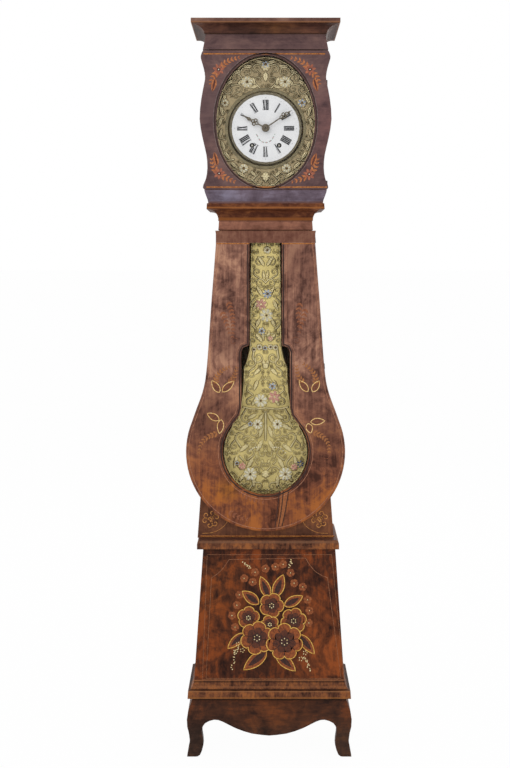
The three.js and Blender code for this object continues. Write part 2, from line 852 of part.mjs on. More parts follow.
function headFrieze() {
  const top = headTop - corniceHeight - seatGap;
  const bottom = top - friezeHeight;
  const middle = (friezeTopProjection + friezeBottomProjection) / 2 - seatGap;
  const profile = [
    [seatGap, bottom], [friezeBottomProjection, bottom],
    [middle, (bottom + top) / 2], [friezeTopProjection, top], [seatGap, top],
  ];
  return wrapAround(profile, headHalfAt, headFront, boardBack);
}

const lowerBandShares = [[0, 0], [0.15, 0.25], [0.5, 0.52], [0.85, 0.8], [1, 1]];

function headLowerBand() {
  const bottom = headBottom;
  const top = bottom + lowerBandHeight;
  const reach = lowerBandTopProjection - lowerBandBottomProjection;
  const face = lowerBandShares.map(([out, up]) => [
    lowerBandBottomProjection + out * reach, bottom + up * lowerBandHeight,
  ]);
  const profile = [[seatGap, bottom], ...face, [seatGap, top]];
  return wrapAround(profile, headHalfAt, headFront, boardBack);
}

function headDoorOutline() {
  const height = headDoorTop - headDoorBottom;
  const side = headDoorEdgeShares.map(([across, up]) => [
    across * headDoorHalfWidth, headDoorBottom + up * height,
  ]);
  return mirrored(smooth(side, 2));
}

function buildHeadDoor() {
  const door = new THREE.Group();
  door.position.x = trunkShift;
  const shape = outline(headDoorOutline());
  const ratio = ovalHalfHeight / ovalHalfWidth;
  shape.holes.push(hole(circlePoints(ovalHalfWidth, 0, ovalCentre, largeSides, ratio)));
  const board = plate(shape, headDoorFront, headDoorBack, doorEdgeBevel);
  const rebateWidth = ovalHalfWidth + ovalRebateWidth;
  const rebateRatio = (ovalHalfHeight + ovalRebateWidth) / rebateWidth;
  const rebateFront = headDoorBack - glassRebateDepth;
  const rebateShape = outline(circlePoints(rebateWidth, 0, ovalCentre, largeSides, rebateRatio));
  const rebate = plate(rebateShape, rebateFront, headDoorBack + cutOverrun);
  const notches = ['head_hinge_upper', 'head_hinge_lower'].map((name) => (
    atHinge(hingeNotch(headDoorHalfWidth), hingePlaces[name])
  ));
  place(door, 'head_door_frame', cut(board, rebate, ...notches), headPaint);
  const pane = outline(circlePoints(rebateWidth - seatGap, 0, ovalCentre, largeSides, rebateRatio));
  const glassFront = rebateFront + seatGap;
  place(door, 'head_door_glass', plate(pane, glassFront, glassFront + glassThickness), clearGlass);
  return door;
}

// Toothed wheels: pointed teeth with running clearance, drawn in the XZ plane
function gearPoints(teeth, moduleSize, phase, x, z) {
  const pitch = (teeth * moduleSize) / 2;
  const tip = pitch + addendumShare * moduleSize;
  const root = pitch - dedendumShare * moduleSize;
  const points = [];
  for (let i = 0; i < teeth; i += 1) {
    const angle = phase + (2 * Math.PI * i) / teeth;
    const gullet = angle + Math.PI / teeth;
    points.push([x + tip * Math.cos(angle), z + tip * Math.sin(angle)]);
    points.push([x + root * Math.cos(gullet), z + root * Math.sin(gullet)]);
  }
  return points;
}

function gear(teeth, moduleSize, phase, [x, z], yFrom, yTo) {
  const shape = outline(gearPoints(teeth, moduleSize, phase, x, z));
  const pitch = (teeth * moduleSize) / 2;
  if (pitch > 5 * barrelArborRadius) {
    crossings(pitch, x, z).forEach((opening) => shape.holes.push(hole(opening)));
  }
  return plate(shape, yFrom, yTo);
}

// Four openings between the spokes of a wheel
function crossings(pitch, x, z) {
  const outerShare = 0.82;
  const innerShare = 0.32;
  const spokeShare = 0.055;
  const openings = [];
  for (let i = 0; i < 4; i += 1) {
    const middle = Math.PI / 4 + (i * Math.PI) / 2;
    const points = [];
    for (const [radiusShare, from, to, steps] of [[outerShare, -1, 1, 3], [innerShare, 1, -1, 1]]) {
      const radius = radiusShare * pitch;
      const spread = Math.PI / 4 - Math.asin((spokeShare * pitch) / radius);
      for (let s = 0; s <= steps; s += 1) {
        const angle = middle + spread * (from + ((to - from) * s) / steps);
        points.push([x + radius * Math.cos(angle), z + radius * Math.sin(angle)]);
      }
    }
    openings.push(points);
  }
  return openings;
}

// The phase at which a second wheel's gap meets the first wheel's tooth
function meshingPhase(phase, teeth, nextTeeth, from, to) {
  const angle = Math.atan2(to[1] - from[1], to[0] - from[0]);
  const turn = ((angle - phase) * teeth) / (2 * Math.PI);
  return angle + Math.PI - ((2 * Math.PI) / nextTeeth) * (0.5 - turn);
}

function distanceOf(teeth, nextTeeth, moduleSize) {
  return ((teeth + nextTeeth) * moduleSize) / 2;
}

function pointAt([x, z], distance, degrees) {
  const angle = THREE.MathUtils.degToRad(degrees);
  return [x + distance * Math.cos(angle), z + distance * Math.sin(angle)];
}

// The point that lies at one distance from the centre and at another from a given point
function whereCirclesMeet(fromCentre, [x, z], fromPoint) {
  const span = Math.hypot(x, z);
  const along = (fromCentre ** 2 - fromPoint ** 2 + span ** 2) / (2 * span);
  const aside = Math.sqrt(fromCentre ** 2 - along ** 2);
  return [(x * along - z * aside) / span, (z * along + x * aside) / span];
}

const goingBarrelAt = [windingX, windingZ];
const strikeBarrelAt = [-windingX, windingZ];
const greatDistance = distanceOf(greatTeeth, greatPinionTeeth, greatModule);
const secondAt = whereCirclesMeet(driveTeeth * driveModule, goingBarrelAt, greatDistance);
const strikeSecondAt = [-secondAt[0], secondAt[1]];
const thirdAt = pointAt(secondAt, distanceOf(secondTeeth, thirdPinionTeeth, secondModule), thirdAngle);
const escapeDistance = distanceOf(thirdTeeth, escapePinionTeeth, thirdModule);
const escapeAt = [0, thirdAt[1] + Math.sqrt(escapeDistance ** 2 - thirdAt[0] ** 2)];
const flyAt = pointAt(strikeSecondAt, distanceOf(secondTeeth, flyPinionTeeth, secondModule), flyAngle);
const minuteStudAt = [0, -distanceOf(cannonTeeth, minuteWheelTeeth, motionModule)];
const hammerArborX = -cageHalfWidth + cagePillarSize / 2;
const innerFront = cageFront + strapThickness;
const innerBack = cageBack - strapThickness;

// An arbor between the straps: thin pivots at both ends of a thicker body
function arbor([x, z], frontReach = 0) {
  const body = rodY(arborRadius, innerFront + arborShoulderGap, innerBack - arborShoulderGap, x, z);
  const pivotFront = frontReach || innerFront - strapThickness / 2;
  const pivots = rodY(pivotRadius, pivotFront, innerBack + strapThickness / 2, x, z);
  return join(body, pivots);
}

function cageStraps() {
  const pieces = [];
  for (const [left, right] of [
    [-sideStrapOuter, -sideStrapInner], [centreStrapLeft, centreStrapRight],
    [sideStrapInner, sideStrapOuter],
  ]) {
    pieces.push(block(left, right, cageFront, innerFront, cageBottom, cageRise));
    pieces.push(block(left, right, innerBack, cageBack, cageBottom, cageRise));
  }
  return pieces;
}

function cagePillars() {
  const pieces = [];
  for (const side of [-1, 1]) {
    const from = side > 0 ? cageHalfWidth - cagePillarSize : -cageHalfWidth;
    const to = from + cagePillarSize;
    for (const front of [cageFront, cageBack - cagePillarSize]) {
      pieces.push(block(from, to, front, front + cagePillarSize, cageBottom, cageRise));
    }
  }
  return pieces;
}

function pivotHoles() {
  const spots = [
    secondAt, strikeSecondAt, thirdAt, escapeAt, flyAt, [0, pendulumPivotZ], [hammerArborX, hammerArborZ],
  ];
  const through = spots.map(([x, z]) => (
    rodY(pivotHoleRadius, cageFront - cutOverrun, cageBack + cutOverrun, x, z)
  ));
  for (const [x, z] of [goingBarrelAt, strikeBarrelAt]) {
    through.push(rodY(barrelArborBore, cageFront - cutOverrun, cageBack + cutOverrun, x, z));
  }
  return through;
}

function movementCage() {
  const half = cageHalfWidth;
  const bottomPlate = block(-half, half, cageFront, cageBack, cageBottom, cageBottom + cagePlateThickness);
  const topPlate = block(-half, half, cageFront, cageBack, cageRise - cagePlateThickness, cageRise);
  const postTop = cageRise + bellMouthRise + bellHeight - bellThickness - seatGap;
  const middle = (cageFront + cageBack) / 2;
  const bellPost = rodZ(bellPostRadius, cageRise - cagePlateThickness / 2, postTop, 0, middle);
  const bellPin = rodZ(bellPostPin, postTop - bellPostRadius, postTop + 3 * bellThickness, 0, middle);
  const cock = block(
    -suspensionCockHalfWidth, suspensionCockHalfWidth, suspensionCockFront, innerFront,
    suspensionCockBottom, cageRise,
  );
  const centrePost = rodY(centrePostRadius, postFront, innerFront, 0, 0);
  const minuteStud = rodY(minuteStudRadius, minuteStudFront, innerFront, ...minuteStudAt);
  const feet = [];
  for (const x of [-dialFootX, dialFootX]) {
    for (const z of [dialFootTop, dialFootBottom]) {
      feet.push(rodY(dialFootRadius, surroundFront + surroundThickness + seatGap, innerFront, x, z));
    }
  }
  const footRails = [dialFootTop, dialFootBottom].map((z) => (
    block(-half, half, cageFront, innerFront, z - cagePillarSize / 2, z + cagePillarSize / 2)
  ));
  const whole = join(
    bottomPlate, topPlate, ...cageStraps(), ...cagePillars(), ...footRails, bellPost, bellPin, cock,
    centrePost, minuteStud, ...feet,
  );
  const slotTop = cageBottom + cagePlateThickness + cutOverrun;
  const slots = [-1, 1].map((side) => cordSlot(side, cageBottom - cutOverrun, slotTop));
  const hammerSlot = block(
    -half - cutOverrun, hammerHeadX - hammerHeadRadius + hammerStemHalfWidth,
    middle - hammerHeadRadius, middle + hammerHeadRadius,
    cageRise - cagePlateThickness - cutOverrun, cageRise + cutOverrun,
  );
  return cut(whole, ...pivotHoles(), ...slots, hammerSlot);
}

function cordSlot(side, zFrom, zTo) {
  const x = side * (windingX + barrelRadius + cordRadius + seatGap);
  return block(x - cordSlotHalfWidth, x + cordSlotHalfWidth, cordSlotFront, cordSlotBack, zFrom, zTo);
}

function seatBoard() {
  const top = cageBottom - seatGap;
  const bottom = top - seatBoardThickness;
  const back = boardBack - seatBoardBackGap;
  const board = block(-seatBoardHalfWidth, seatBoardHalfWidth, seatBoardFront, back, bottom, top);
  const slots = [-1, 1].map((side) => cordSlot(side, bottom - cutOverrun, top + cutOverrun));
  return cut(board, ...slots);
}

// Barrels, with their squared winding arbors reaching into the dial's holes
function barrel([x, z]) {
  const drum = rodY(barrelRadius, barrelFront, barrelBack, x, z, 2 * smallSides);
  const flanges = [barrelFront, barrelBack - barrelFlangeThickness].map((y) => (
    rodY(barrelFlangeRadius, y, y + barrelFlangeThickness, x, z, 2 * smallSides)
  ));
  const shaftFront = surroundFront + surroundThickness;
  const shaft = rodY(barrelArborRadius, shaftFront, cageBack - strapThickness / 2, x, z);
  const half = windingSquareSide / 2;
  const squareBack = surroundFront + cutOverrun;
  const square = block(x - half, x + half, windingSquareFront, squareBack, z - half, z + half);
  return join(drum, ...flanges, shaft, square);
}

function greatWheel(at) {
  const front = greatWheelFront;
  const hubBack = front + 2 * wheelThickness;
  const disc = gear(greatTeeth, greatModule, Math.PI / 2, at, front, front + wheelThickness);
  const hub = rodY(2 * barrelArborRadius, front, hubBack, ...at, 2 * smallSides);
  const bore = rodY(barrelArborBore, front - cutOverrun, hubBack + cutOverrun, ...at);
  return cut(join(disc, hub), bore);
}

function pinionFor(wheelFront) {
  const middle = wheelFront + wheelThickness / 2;
  return [middle - pinionLength / 2, middle + pinionLength / 2];
}

function secondWheel(barrelAt, at, front) {
  const pinionPhase = meshingPhase(Math.PI / 2, greatTeeth, greatPinionTeeth, barrelAt, at);
  const pinion = gear(greatPinionTeeth, greatModule, pinionPhase, at, ...pinionFor(greatWheelFront));
  const disc = gear(secondTeeth, secondModule, 0, at, secondWheelFront, secondWheelFront + wheelThickness);
  return [arbor(at, front), pinion, disc];
}

function goingSecondWheel() {
  const drive = gear(driveTeeth, driveModule, 0, secondAt, driveFront, driveFront + driveThickness);
  return join(...secondWheel(goingBarrelAt, secondAt, driveFront), drive);
}

function strikeSecondWheel() {
  const pins = [];
  const front = secondWheelFront - liftingPinLength;
  const back = secondWheelFront + wheelThickness / 2;
  for (let i = 0; i < liftingPins; i += 1) {
    const at = pointAt(strikeSecondAt, liftingPinCircle, (i * 360) / liftingPins);
    pins.push(rodY(liftingPinRadius, front, back, ...at, smallSides / 2));
  }
  return join(...secondWheel(strikeBarrelAt, strikeSecondAt, 0), ...pins);
}

function thirdWheel() {
  const phase = meshingPhase(0, secondTeeth, thirdPinionTeeth, secondAt, thirdAt);
  const pinion = gear(thirdPinionTeeth, secondModule, phase, thirdAt, ...pinionFor(secondWheelFront));
  const disc = gear(thirdTeeth, thirdModule, 0, thirdAt, thirdWheelFront, thirdWheelFront + wheelThickness);
  return join(arbor(thirdAt), pinion, disc);
}

// The escape wheel's teeth lean forward like a saw's
function escapeWheel() {
  const phase = meshingPhase(0, thirdTeeth, escapePinionTeeth, thirdAt, escapeAt);
  const pinion = gear(escapePinionTeeth, thirdModule, phase, escapeAt, ...pinionFor(thirdWheelFront));
  const points = [];
  const step = (2 * Math.PI) / escapeTeeth;
  for (let i = 0; i < escapeTeeth; i += 1) {
    for (const [radius, turn] of [[escapeRadius, 0], [escapeRadius - escapeToothDepth, step / 5]]) {
      const angle = i * step + turn;
      points.push([escapeAt[0] + radius * Math.cos(angle), escapeAt[1] + radius * Math.sin(angle)]);
    }
  }
  const shape = outline(points);
  const spokeRadius = escapeRadius - escapeToothDepth;
  crossings(spokeRadius, ...escapeAt).forEach((opening) => shape.holes.push(hole(opening)));
  const disc = plate(shape, escapeWheelFront, escapeWheelFront + wheelThickness);
  return join(arbor(escapeAt), pinion, disc);
}

function strikeFly() {
  const phase = meshingPhase(0, secondTeeth, flyPinionTeeth, strikeSecondAt, flyAt);
  const pinion = gear(flyPinionTeeth, secondModule, phase, flyAt, ...pinionFor(secondWheelFront));
  const [x, z] = flyAt;
  const vanes = block(
    x - flyRadius, x + flyRadius, flyFront, flyFront + flyLength, z - flyThickness, z + flyThickness,
  );
  return join(arbor(flyAt), pinion, vanes);
}

// Motion work: the cannon pinion, the minute wheel and the hour wheel
function tube(outer, inner, yFrom, yTo, sides = 2 * smallSides) {
  const shape = outline(circlePoints(outer, 0, 0, sides));
  shape.holes.push(hole(circlePoints(inner, 0, 0, sides)));
  return plate(shape, yFrom, yTo);
}

function centreBore(radius) {
  return rodY(radius, postFront - cutOverrun, cageBack, 0, 0, 2 * smallSides);
}

function cannonPinion() {
  const phase = meshingPhase(0, driveTeeth, driveTeeth, secondAt, [0, 0]);
  const drive = gear(driveTeeth, driveModule, phase, [0, 0], driveFront, driveFront + driveThickness);
  const pinionBack = driveFront + driveThickness / 2;
  const pinionFront = minuteWheelFront - seatGap;
  const pipeFront = minuteHandFront + handThickness + seatGap;
  const pinion = gear(cannonTeeth, motionModule, Math.PI / 2, [0, 0], pinionFront, pinionBack);
  const pipe = rodY(cannonPipeRadius, pipeFront, pinionBack, 0, 0, 2 * smallSides);
  return cut(join(drive, pinion, pipe), centreBore(cannonBore));
}

function minuteWheel() {
  const phase = meshingPhase(Math.PI / 2, cannonTeeth, minuteWheelTeeth, [0, 0], minuteStudAt);
  const back = minuteWheelFront + minuteWheelThickness;
  const wheel = gear(minuteWheelTeeth, motionModule, phase, minuteStudAt, minuteWheelFront, back);
  const pinion = gear(
    minutePinionTeeth, motionModule, Math.PI / 2, minuteStudAt, hourWheelFront - seatGap,
    minuteWheelFront + minuteWheelThickness / 2,
  );
  const bore = rodY(minuteStudBore, minuteStudFront - cutOverrun, cageFront, ...minuteStudAt);
  return cut(join(wheel, pinion), bore);
}

function hourWheel() {
  const phase = meshingPhase(Math.PI / 2, minutePinionTeeth, hourWheelTeeth, minuteStudAt, [0, 0]);
  const back = hourWheelFront + hourWheelThickness;
  const wheel = gear(hourWheelTeeth, motionModule, phase, [0, 0], hourWheelFront, back);
  const pipe = rodY(hourPipeRadius, hourHandFront + handThickness + seatGap, back, 0, 0, 2 * smallSides);
  return cut(join(wheel, pipe), centreBore(hourPipeBore));
}

// Pierced hands: a hub, a stem, a cluster of four open eyes and a leaf with a long point
const handLeafShares = [[1, 0.3], [0.35, 0.5], [0, 1]];

function hand(length, bore, yFront, [from, to, halfWidth, leafHalfWidth]) {
  const yBack = yFront + handThickness;
  const half = handStemHalfWidth;
  const stem = block(-half, half, yFront, yBack, 0, to);
  const hub = rodY(handHubRadius, yFront, yBack, 0, 0, 2 * smallSides);
  const side = halfWidth - handEyeRadius;
  const middle = (from + to) / 2;
  const eyes = [[0, from + handEyeRadius], [-side, middle], [side, middle], [0, to - handEyeRadius]];
  const rings = eyes.map(([x, z]) => rodY(handEyeRadius, yFront, yBack, x, z, 2 * smallSides));
  const holes = eyes.map(([x, z]) => (
    rodY(handEyeRadius / 2, yFront - cutOverrun, yFront + cutOverrun, x, z)
  ));
  const leafFrom = to - handEyeRadius / 3;
  const leafSide = handLeafShares.map(([across, up]) => [
    across * leafHalfWidth, leafFrom + up * (length - leafFrom),
  ]);
  const leaf = plate(outline(mirrored([[half, leafFrom], ...leafSide])), yFront, yBack);
  const centre = rodY(bore, yFront - cutOverrun, yFront + cutOverrun, 0, 0, 2 * smallSides);
  return cut(join(stem, hub, ...rings, leaf), ...holes, centre);
}

function dialSurround() {
  const width = ovalHalfWidth + surroundMargin;
  const height = ovalHalfHeight + surroundMargin;
  const shape = outline(circlePoints(width, 0, ovalCentreAboveDial, largeSides, height / width));
  const sheet = plate(shape, surroundFront, surroundFront + surroundThickness);
  const ringRadius = bezelOuterRadius + surroundRingWidth;
  const ringFront = surroundFront - surroundRelief;
  const ringOutline = outline(circlePoints(ringRadius, 0, 0, largeSides));
  const ring = plate(ringOutline, ringFront, surroundFront + surroundThickness / 2);
  const seat = rodY(bezelOuterRadius + seatGap, ringFront - cutOverrun, surroundFront, 0, 0, largeSides);
  return cut(join(sheet, ring), seat, ...dialHoles());
}

function dialHoles() {
  return [[0, 0], goingBarrelAt, strikeBarrelAt].map(([x, z]) => (
    rodY(dialHoleRadius, bezelFront - cutOverrun, surroundFront + cutOverrun, x, z, 2 * smallSides)
  ));
}

// The enamel disc is slightly domed
function enamelDial() {
  const back = surroundFront - seatGap;
  const rimFront = back - dialThickness;
  const profile = [[0, back], [dialRadius, back], [dialRadius, rimFront]];
  const rings = 3;
  for (let i = 1; i < rings; i += 1) {
    const share = 1 - i / rings;
    profile.push([dialRadius * share, rimFront - dialDome * (1 - share ** 2)]);
  }
  profile.push([0, rimFront - dialDome]);
  return cut(turned(profile, largeSides), ...dialHoles());
}

// A solid turned about the Y axis from a profile of [radius, y]
function turned(profile, sides) {
  const points = profile.map(([radius, y]) => new THREE.Vector2(radius, y));
  const geometry = new THREE.LatheGeometry(points, sides);
  const bare = toSolid(geometry);
  return bare.volume() < 0 ? toGeometry(toSolid(flipped(geometry))) : toGeometry(bare);
}

function flipped(geometry) {
  const copy = geometry.clone();
  const { array } = copy.index;
  for (let i = 0; i < array.length; i += 3) {
    [array[i + 1], array[i + 2]] = [array[i + 2], array[i + 1]];
  }
  return copy;
}

function dialBezel() {
  const back = surroundFront - seatGap;
  const overDial = back - dialThickness - 2 * seatGap;
  const middle = (bezelInnerRadius + bezelOuterRadius) / 2;
  const inner = dialRadius + seatGap;
  const profile = [
    [inner, back], [bezelOuterRadius, back], [bezelOuterRadius, overDial], [middle + seatGap, bezelFront],
    [middle - seatGap, bezelFront], [bezelInnerRadius, overDial - seatGap], [bezelInnerRadius, overDial],
    [inner, overDial], [inner, back],
  ];
  return turned(profile, largeSides);
}

// Anchor over the escape wheel, with the crutch that guides the pendulum rod
function anchorAndCrutch() {
  const pivot = [0, pendulumPivotZ];
  const shaft = rodY(arborRadius, crutchFront, innerBack - arborShoulderGap, ...pivot);
  const backPivot = rodY(pivotRadius, innerBack - cutOverrun, innerBack + strapThickness / 2, ...pivot);
  const back = escapeWheelFront + wheelThickness / 2 + anchorThickness / 2;
  const front = back - anchorThickness;
  const half = anchorArmHalfWidth;
  const palletRadius = escapeRadius + anchorPalletClearance;
  const angle = THREE.MathUtils.degToRad(anchorPalletAngle);
  const palletX = palletRadius * Math.sin(angle);
  const palletZ = escapeAt[1] + palletRadius * Math.cos(angle);
  const crown = escapeAt[1] + palletRadius + 2 * half;
  const right = [
    [0, crown], [half, crown - half / 2], [palletX, palletZ], [palletX + 2 * half, palletZ + half],
    [palletX + half, crown], [half, crown + 2 * half], [half, pendulumPivotZ + half],
  ];
  const anchor = plate(outline(mirrored(right)), front, back);
  const stem = block(-half / 2, half / 2, crutchFront, crutchFront + half, crutchForkHeight, pendulumPivotZ);
  const inner = rodHalfWidth + 2 * seatGap;
  const bridge = block(
    -inner - half / 2, inner + half / 2, crutchFront, crutchFront + half,
    crutchForkHeight - half, crutchForkHeight + half / 2,
  );
  const prongFront = crutchFront - crutchProngLength;
  const prongs = [-1, 1].map((side) => {
    const [from, to] = [side * inner, side * (inner + half / 2)].sort((a, b) => a - b);
    return block(from, to, prongFront, crutchFront + half, crutchForkHeight - half, crutchForkHeight);
  });
  return join(shaft, backPivot, anchor, stem, bridge, ...prongs);
}

// The pendulum hangs from a spring in front of the cage and passes round the centre arbor
function suspensionSpring() {
  const middle = rodFront + rodThickness / 2;
  return block(
    -springHalfWidth, springHalfWidth, middle - springThickness / 2, middle + springThickness / 2,
    springBottom, suspensionCockBottom - seatGap,
  );
}

function pendulumRod() {
  const back = rodFront + rodThickness;
  const top = springBottom - seatGap;
  const half = rodHalfWidth;
  const ringMiddle = (rodRingInner + rodRingOuter) / 2;
  const upper = block(-half, half, rodFront, back, ringMiddle, top);
  const lower = block(-half, half, rodFront, back, 4 * lyreTop / 3, -ringMiddle);
  const ring = tube(rodRingOuter, rodRingInner, rodFront, back, 2 * smallSides);
  return join(upper, lower, ring);
}

// Half-widths of the lyre-shaped brass as shares of the bulb's radius, from top to shoulder
const lyreEdgeShares = [
  [0.35, 1], [0.355, 0.93], [0.38, 0.62], [0.39, 0.535], [0.43, 0.51], [0.475, 0.4875],
  [0.525, 0.474], [0.53, 0.44], [0.54, 0.405], [0.555, 0.375], [0.592, 0.3345], [0.62, 0.31],
  [0.695, 0.2925], [0.78, 0.271],
];

function lyreOutline() {
  const centre = lyreBottom + lyreBulbRadius;
  const height = lyreTop - lyreBottom;
  const shoulder = Math.PI / 5;
  const points = [];
  for (let i = 0; i <= outlineSteps / 2; i += 1) {
    const angle = -Math.PI / 2 + ((shoulder + Math.PI / 2) * 2 * i) / outlineSteps;
    points.push([lyreBulbRadius * Math.cos(angle), centre + lyreBulbRadius * Math.sin(angle)]);
  }
  points[0][0] = 0;
  const edge = lyreEdgeShares.map(([across, up]) => [across * lyreBulbRadius, lyreBottom + up * height]);
  return mirrored(points.concat(edge.reverse()));
}

function pendulumFront() {
  return plate(outline(lyreOutline()), lyreFront, lyreFront + lyreThickness);
}

function weight(side) {
  const [x, y] = cordLine(side);
  const top = weightHeight;
  const profile = [
    [0, 0], [weightRadius - weightEdge, 0], [weightRadius, weightEdge], [weightRadius, top - weightEdge],
    [weightRadius - weightEdge, top], [weightHookRadius, top], [weightHookRadius, top + weightHookHeight],
    [0, top + weightHookHeight],
  ];
  const body = turned(profile, 2 * smallSides);
  return body.rotateX(Math.PI / 2).translate(x, y, weightRestHeight - dialCentreHeight);
}

function cordLine(side) {
  const x = side * (windingX + barrelRadius + cordRadius + seatGap);
  return [x, (barrelFront + barrelBack) / 2];
}

function cord(side) {
  const [x, y] = cordLine(side);
  const bottom = weightRestHeight - dialCentreHeight + weightHeight + weightHookHeight + seatGap;
  const section = outline(circlePoints(cordRadius, 0, 0, 8));
  const path = new THREE.LineCurve3(new THREE.Vector3(x, y, bottom), new THREE.Vector3(x, y, windingZ));
  return new THREE.ExtrudeGeometry(section, { steps: 1, extrudePath: path, bevelEnabled: false });
}

// A bowl turned about its post, with a hole at the crown for the post's pin
function bell() {
  const steps = 5;
  const bore = bellPostPin + seatGap;
  const wall = (radius, height) => {
    const points = [];
    const last = Math.acos(bore / radius);
    for (let i = 0; i <= steps; i += 1) {
      const angle = (last * i) / steps;
      points.push([radius * Math.cos(angle), height * Math.sin(angle)]);
    }
    return points;
  };
  const outer = wall(bellRadius, bellHeight);
  const inner = wall(bellRadius - bellThickness, bellHeight - bellThickness);
  const profile = [...outer, ...inner.reverse(), outer[0]];
  const dome = turned(profile, 3 * smallSides).rotateX(Math.PI / 2);
  return dome.translate(0, (cageFront + cageBack) / 2, cageRise + bellMouthRise);
}

// A flat bar between two points of the XZ plane
function bar([x0, z0], [x1, z1], halfWidth, yFrom, yTo) {
  const length = Math.hypot(x1 - x0, z1 - z0);
  const [nx, nz] = [((z1 - z0) / length) * halfWidth, ((x0 - x1) / length) * halfWidth];
  const corners = [[x0 + nx, z0 + nz], [x1 + nx, z1 + nz], [x1 - nx, z1 - nz], [x0 - nx, z0 - nz]];
  return plate(outline(corners), yFrom, yTo);
}

function hammer() {
  const at = [hammerArborX, hammerArborZ];
  const middle = (cageFront + cageBack) / 2;
  const bodyFront = cageFront + cagePillarSize + arborShoulderGap;
  const bodyBack = cageBack - cagePillarSize - arborShoulderGap;
  const shaft = rodY(arborRadius + hammerStemHalfWidth / 4, bodyFront, bodyBack, ...at);
  const pivots = rodY(pivotRadius, cageFront + cagePillarSize / 2, cageBack - cagePillarSize / 2, ...at);
  const half = hammerStemHalfWidth;
  const stem = bar(at, [hammerHeadX, hammerHeadZ], half, middle - half, middle + half);
  const tail = bar(at, [hammerTailEndX, hammerTailEndZ], half, hammerTailFront, hammerTailBack);
  const head = new THREE.SphereGeometry(hammerHeadRadius, smallSides + 2, smallSides - 2);
  head.rotateX(Math.PI / 2).translate(hammerHeadX, middle, hammerHeadZ);
  return join(shaft, pivots, stem, tail, head);
}

function buildMovement() {
  const movement = new THREE.Group();
  movement.position.set(trunkShift, 0, dialCentreHeight);
  place(movement, 'movement_seat_board', seatBoard(), rawPine);
  place(movement, 'movement_cage', movementCage(), darkIron);
  place(movement, 'bell', bell(), bellBronze);
  place(movement, 'hammer', hammer(), darkIron);
  for (const [name, side, at] of [['going', 1, goingBarrelAt], ['strike', -1, strikeBarrelAt]]) {
    place(movement, `${name}_great_wheel`, greatWheel(at), brass);
    place(movement, `${name}_barrel`, barrel(at), darkIron);
    place(movement, `${name}_weight`, weight(side), castIron);
    place(movement, `${name}_cord`, cord(side), hempCord);
  }
  place(movement, 'going_second_wheel', goingSecondWheel(), brass);
  place(movement, 'going_third_wheel', thirdWheel(), brass);
  place(movement, 'escape_wheel', escapeWheel(), brass);
  place(movement, 'anchor_and_crutch', anchorAndCrutch(), darkIron);
  place(movement, 'strike_second_wheel', strikeSecondWheel(), brass);
  place(movement, 'strike_fly', strikeFly(), brass);
  place(movement, 'cannon_pinion', cannonPinion(), brass);
  place(movement, 'minute_wheel', minuteWheel(), brass);
  place(movement, 'hour_wheel', hourWheel(), brass);
  place(movement, 'suspension_spring', suspensionSpring(), darkIron);
  place(movement, 'pendulum_rod', pendulumRod(), darkIron);
  place(movement, 'pendulum_front', pendulumFront(), embossedBrass);
  return movement;
}

function buildDial() {
  const dial = new THREE.Group();
  dial.position.set(trunkShift, 0, dialCentreHeight);
  place(dial, 'dial_surround', dialSurround(), embossedBrass);
  place(dial, 'enamel_dial', enamelDial(), enamel);
  place(dial, 'dial_bezel', dialBezel(), brass);
  const minuteShape = hand(minuteHandLength, centrePostRadius + seatGap, minuteHandFront, [
    minuteClusterFrom, minuteClusterTo, minuteClusterHalfWidth, minuteLeafHalfWidth,
  ]);
  const minute = place(dial, 'minute_hand', minuteShape, pierced);
  minute.rotation.y = THREE.MathUtils.degToRad(minuteHandAngle);
  const hourShape = hand(hourHandLength, cannonPipeRadius + seatGap, hourHandFront, [
    hourClusterFrom, hourClusterTo, hourClusterHalfWidth, hourLeafHalfWidth,
  ]);
  const hour = place(dial, 'hour_hand', hourShape, pierced);
  hour.rotation.y = THREE.MathUtils.degToRad(hourHandAngle);
  return dial;
}

const group = new THREE.Group();
group.add(buildBase());
const waist = place(group, 'waist_moulding', waistFrame(), redPaint);
waist.position.x = waistShift;
place(group, 'case_back_board', backBoard(), rawPine);
group.add(buildTrunk());
group.add(buildTrunkDoor());
group.add(buildHead());
group.add(buildHeadDoor());
group.add(buildHinges());
group.add(buildMovement());
group.add(buildDial());

export default group;
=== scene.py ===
import math
import random

import bmesh
import bpy
import numpy as np
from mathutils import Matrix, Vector


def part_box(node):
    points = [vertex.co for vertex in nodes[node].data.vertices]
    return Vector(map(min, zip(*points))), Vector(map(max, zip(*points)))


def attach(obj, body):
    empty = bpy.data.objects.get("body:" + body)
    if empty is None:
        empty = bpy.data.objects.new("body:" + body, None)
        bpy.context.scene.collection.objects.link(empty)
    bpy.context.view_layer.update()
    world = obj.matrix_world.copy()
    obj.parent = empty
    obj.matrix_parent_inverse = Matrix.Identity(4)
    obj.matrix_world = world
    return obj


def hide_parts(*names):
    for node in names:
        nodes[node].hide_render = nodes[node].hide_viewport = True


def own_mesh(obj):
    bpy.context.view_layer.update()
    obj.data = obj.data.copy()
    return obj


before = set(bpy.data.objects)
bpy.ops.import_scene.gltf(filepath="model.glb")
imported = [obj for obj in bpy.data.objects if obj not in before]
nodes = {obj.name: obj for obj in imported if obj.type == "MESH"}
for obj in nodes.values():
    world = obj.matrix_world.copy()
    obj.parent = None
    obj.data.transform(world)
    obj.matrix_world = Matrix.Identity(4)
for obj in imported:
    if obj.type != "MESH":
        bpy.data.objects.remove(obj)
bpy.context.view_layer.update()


def colour(code):
    """A linear colour from an sRGB hex code."""
    parts = [int(code[i:i + 2], 16) / 255 for i in (1, 3, 5)]
    return [p / 12.92 if p <= 0.04045 else ((p + 0.055) / 1.055) ** 2.4 for p in parts] + [1]


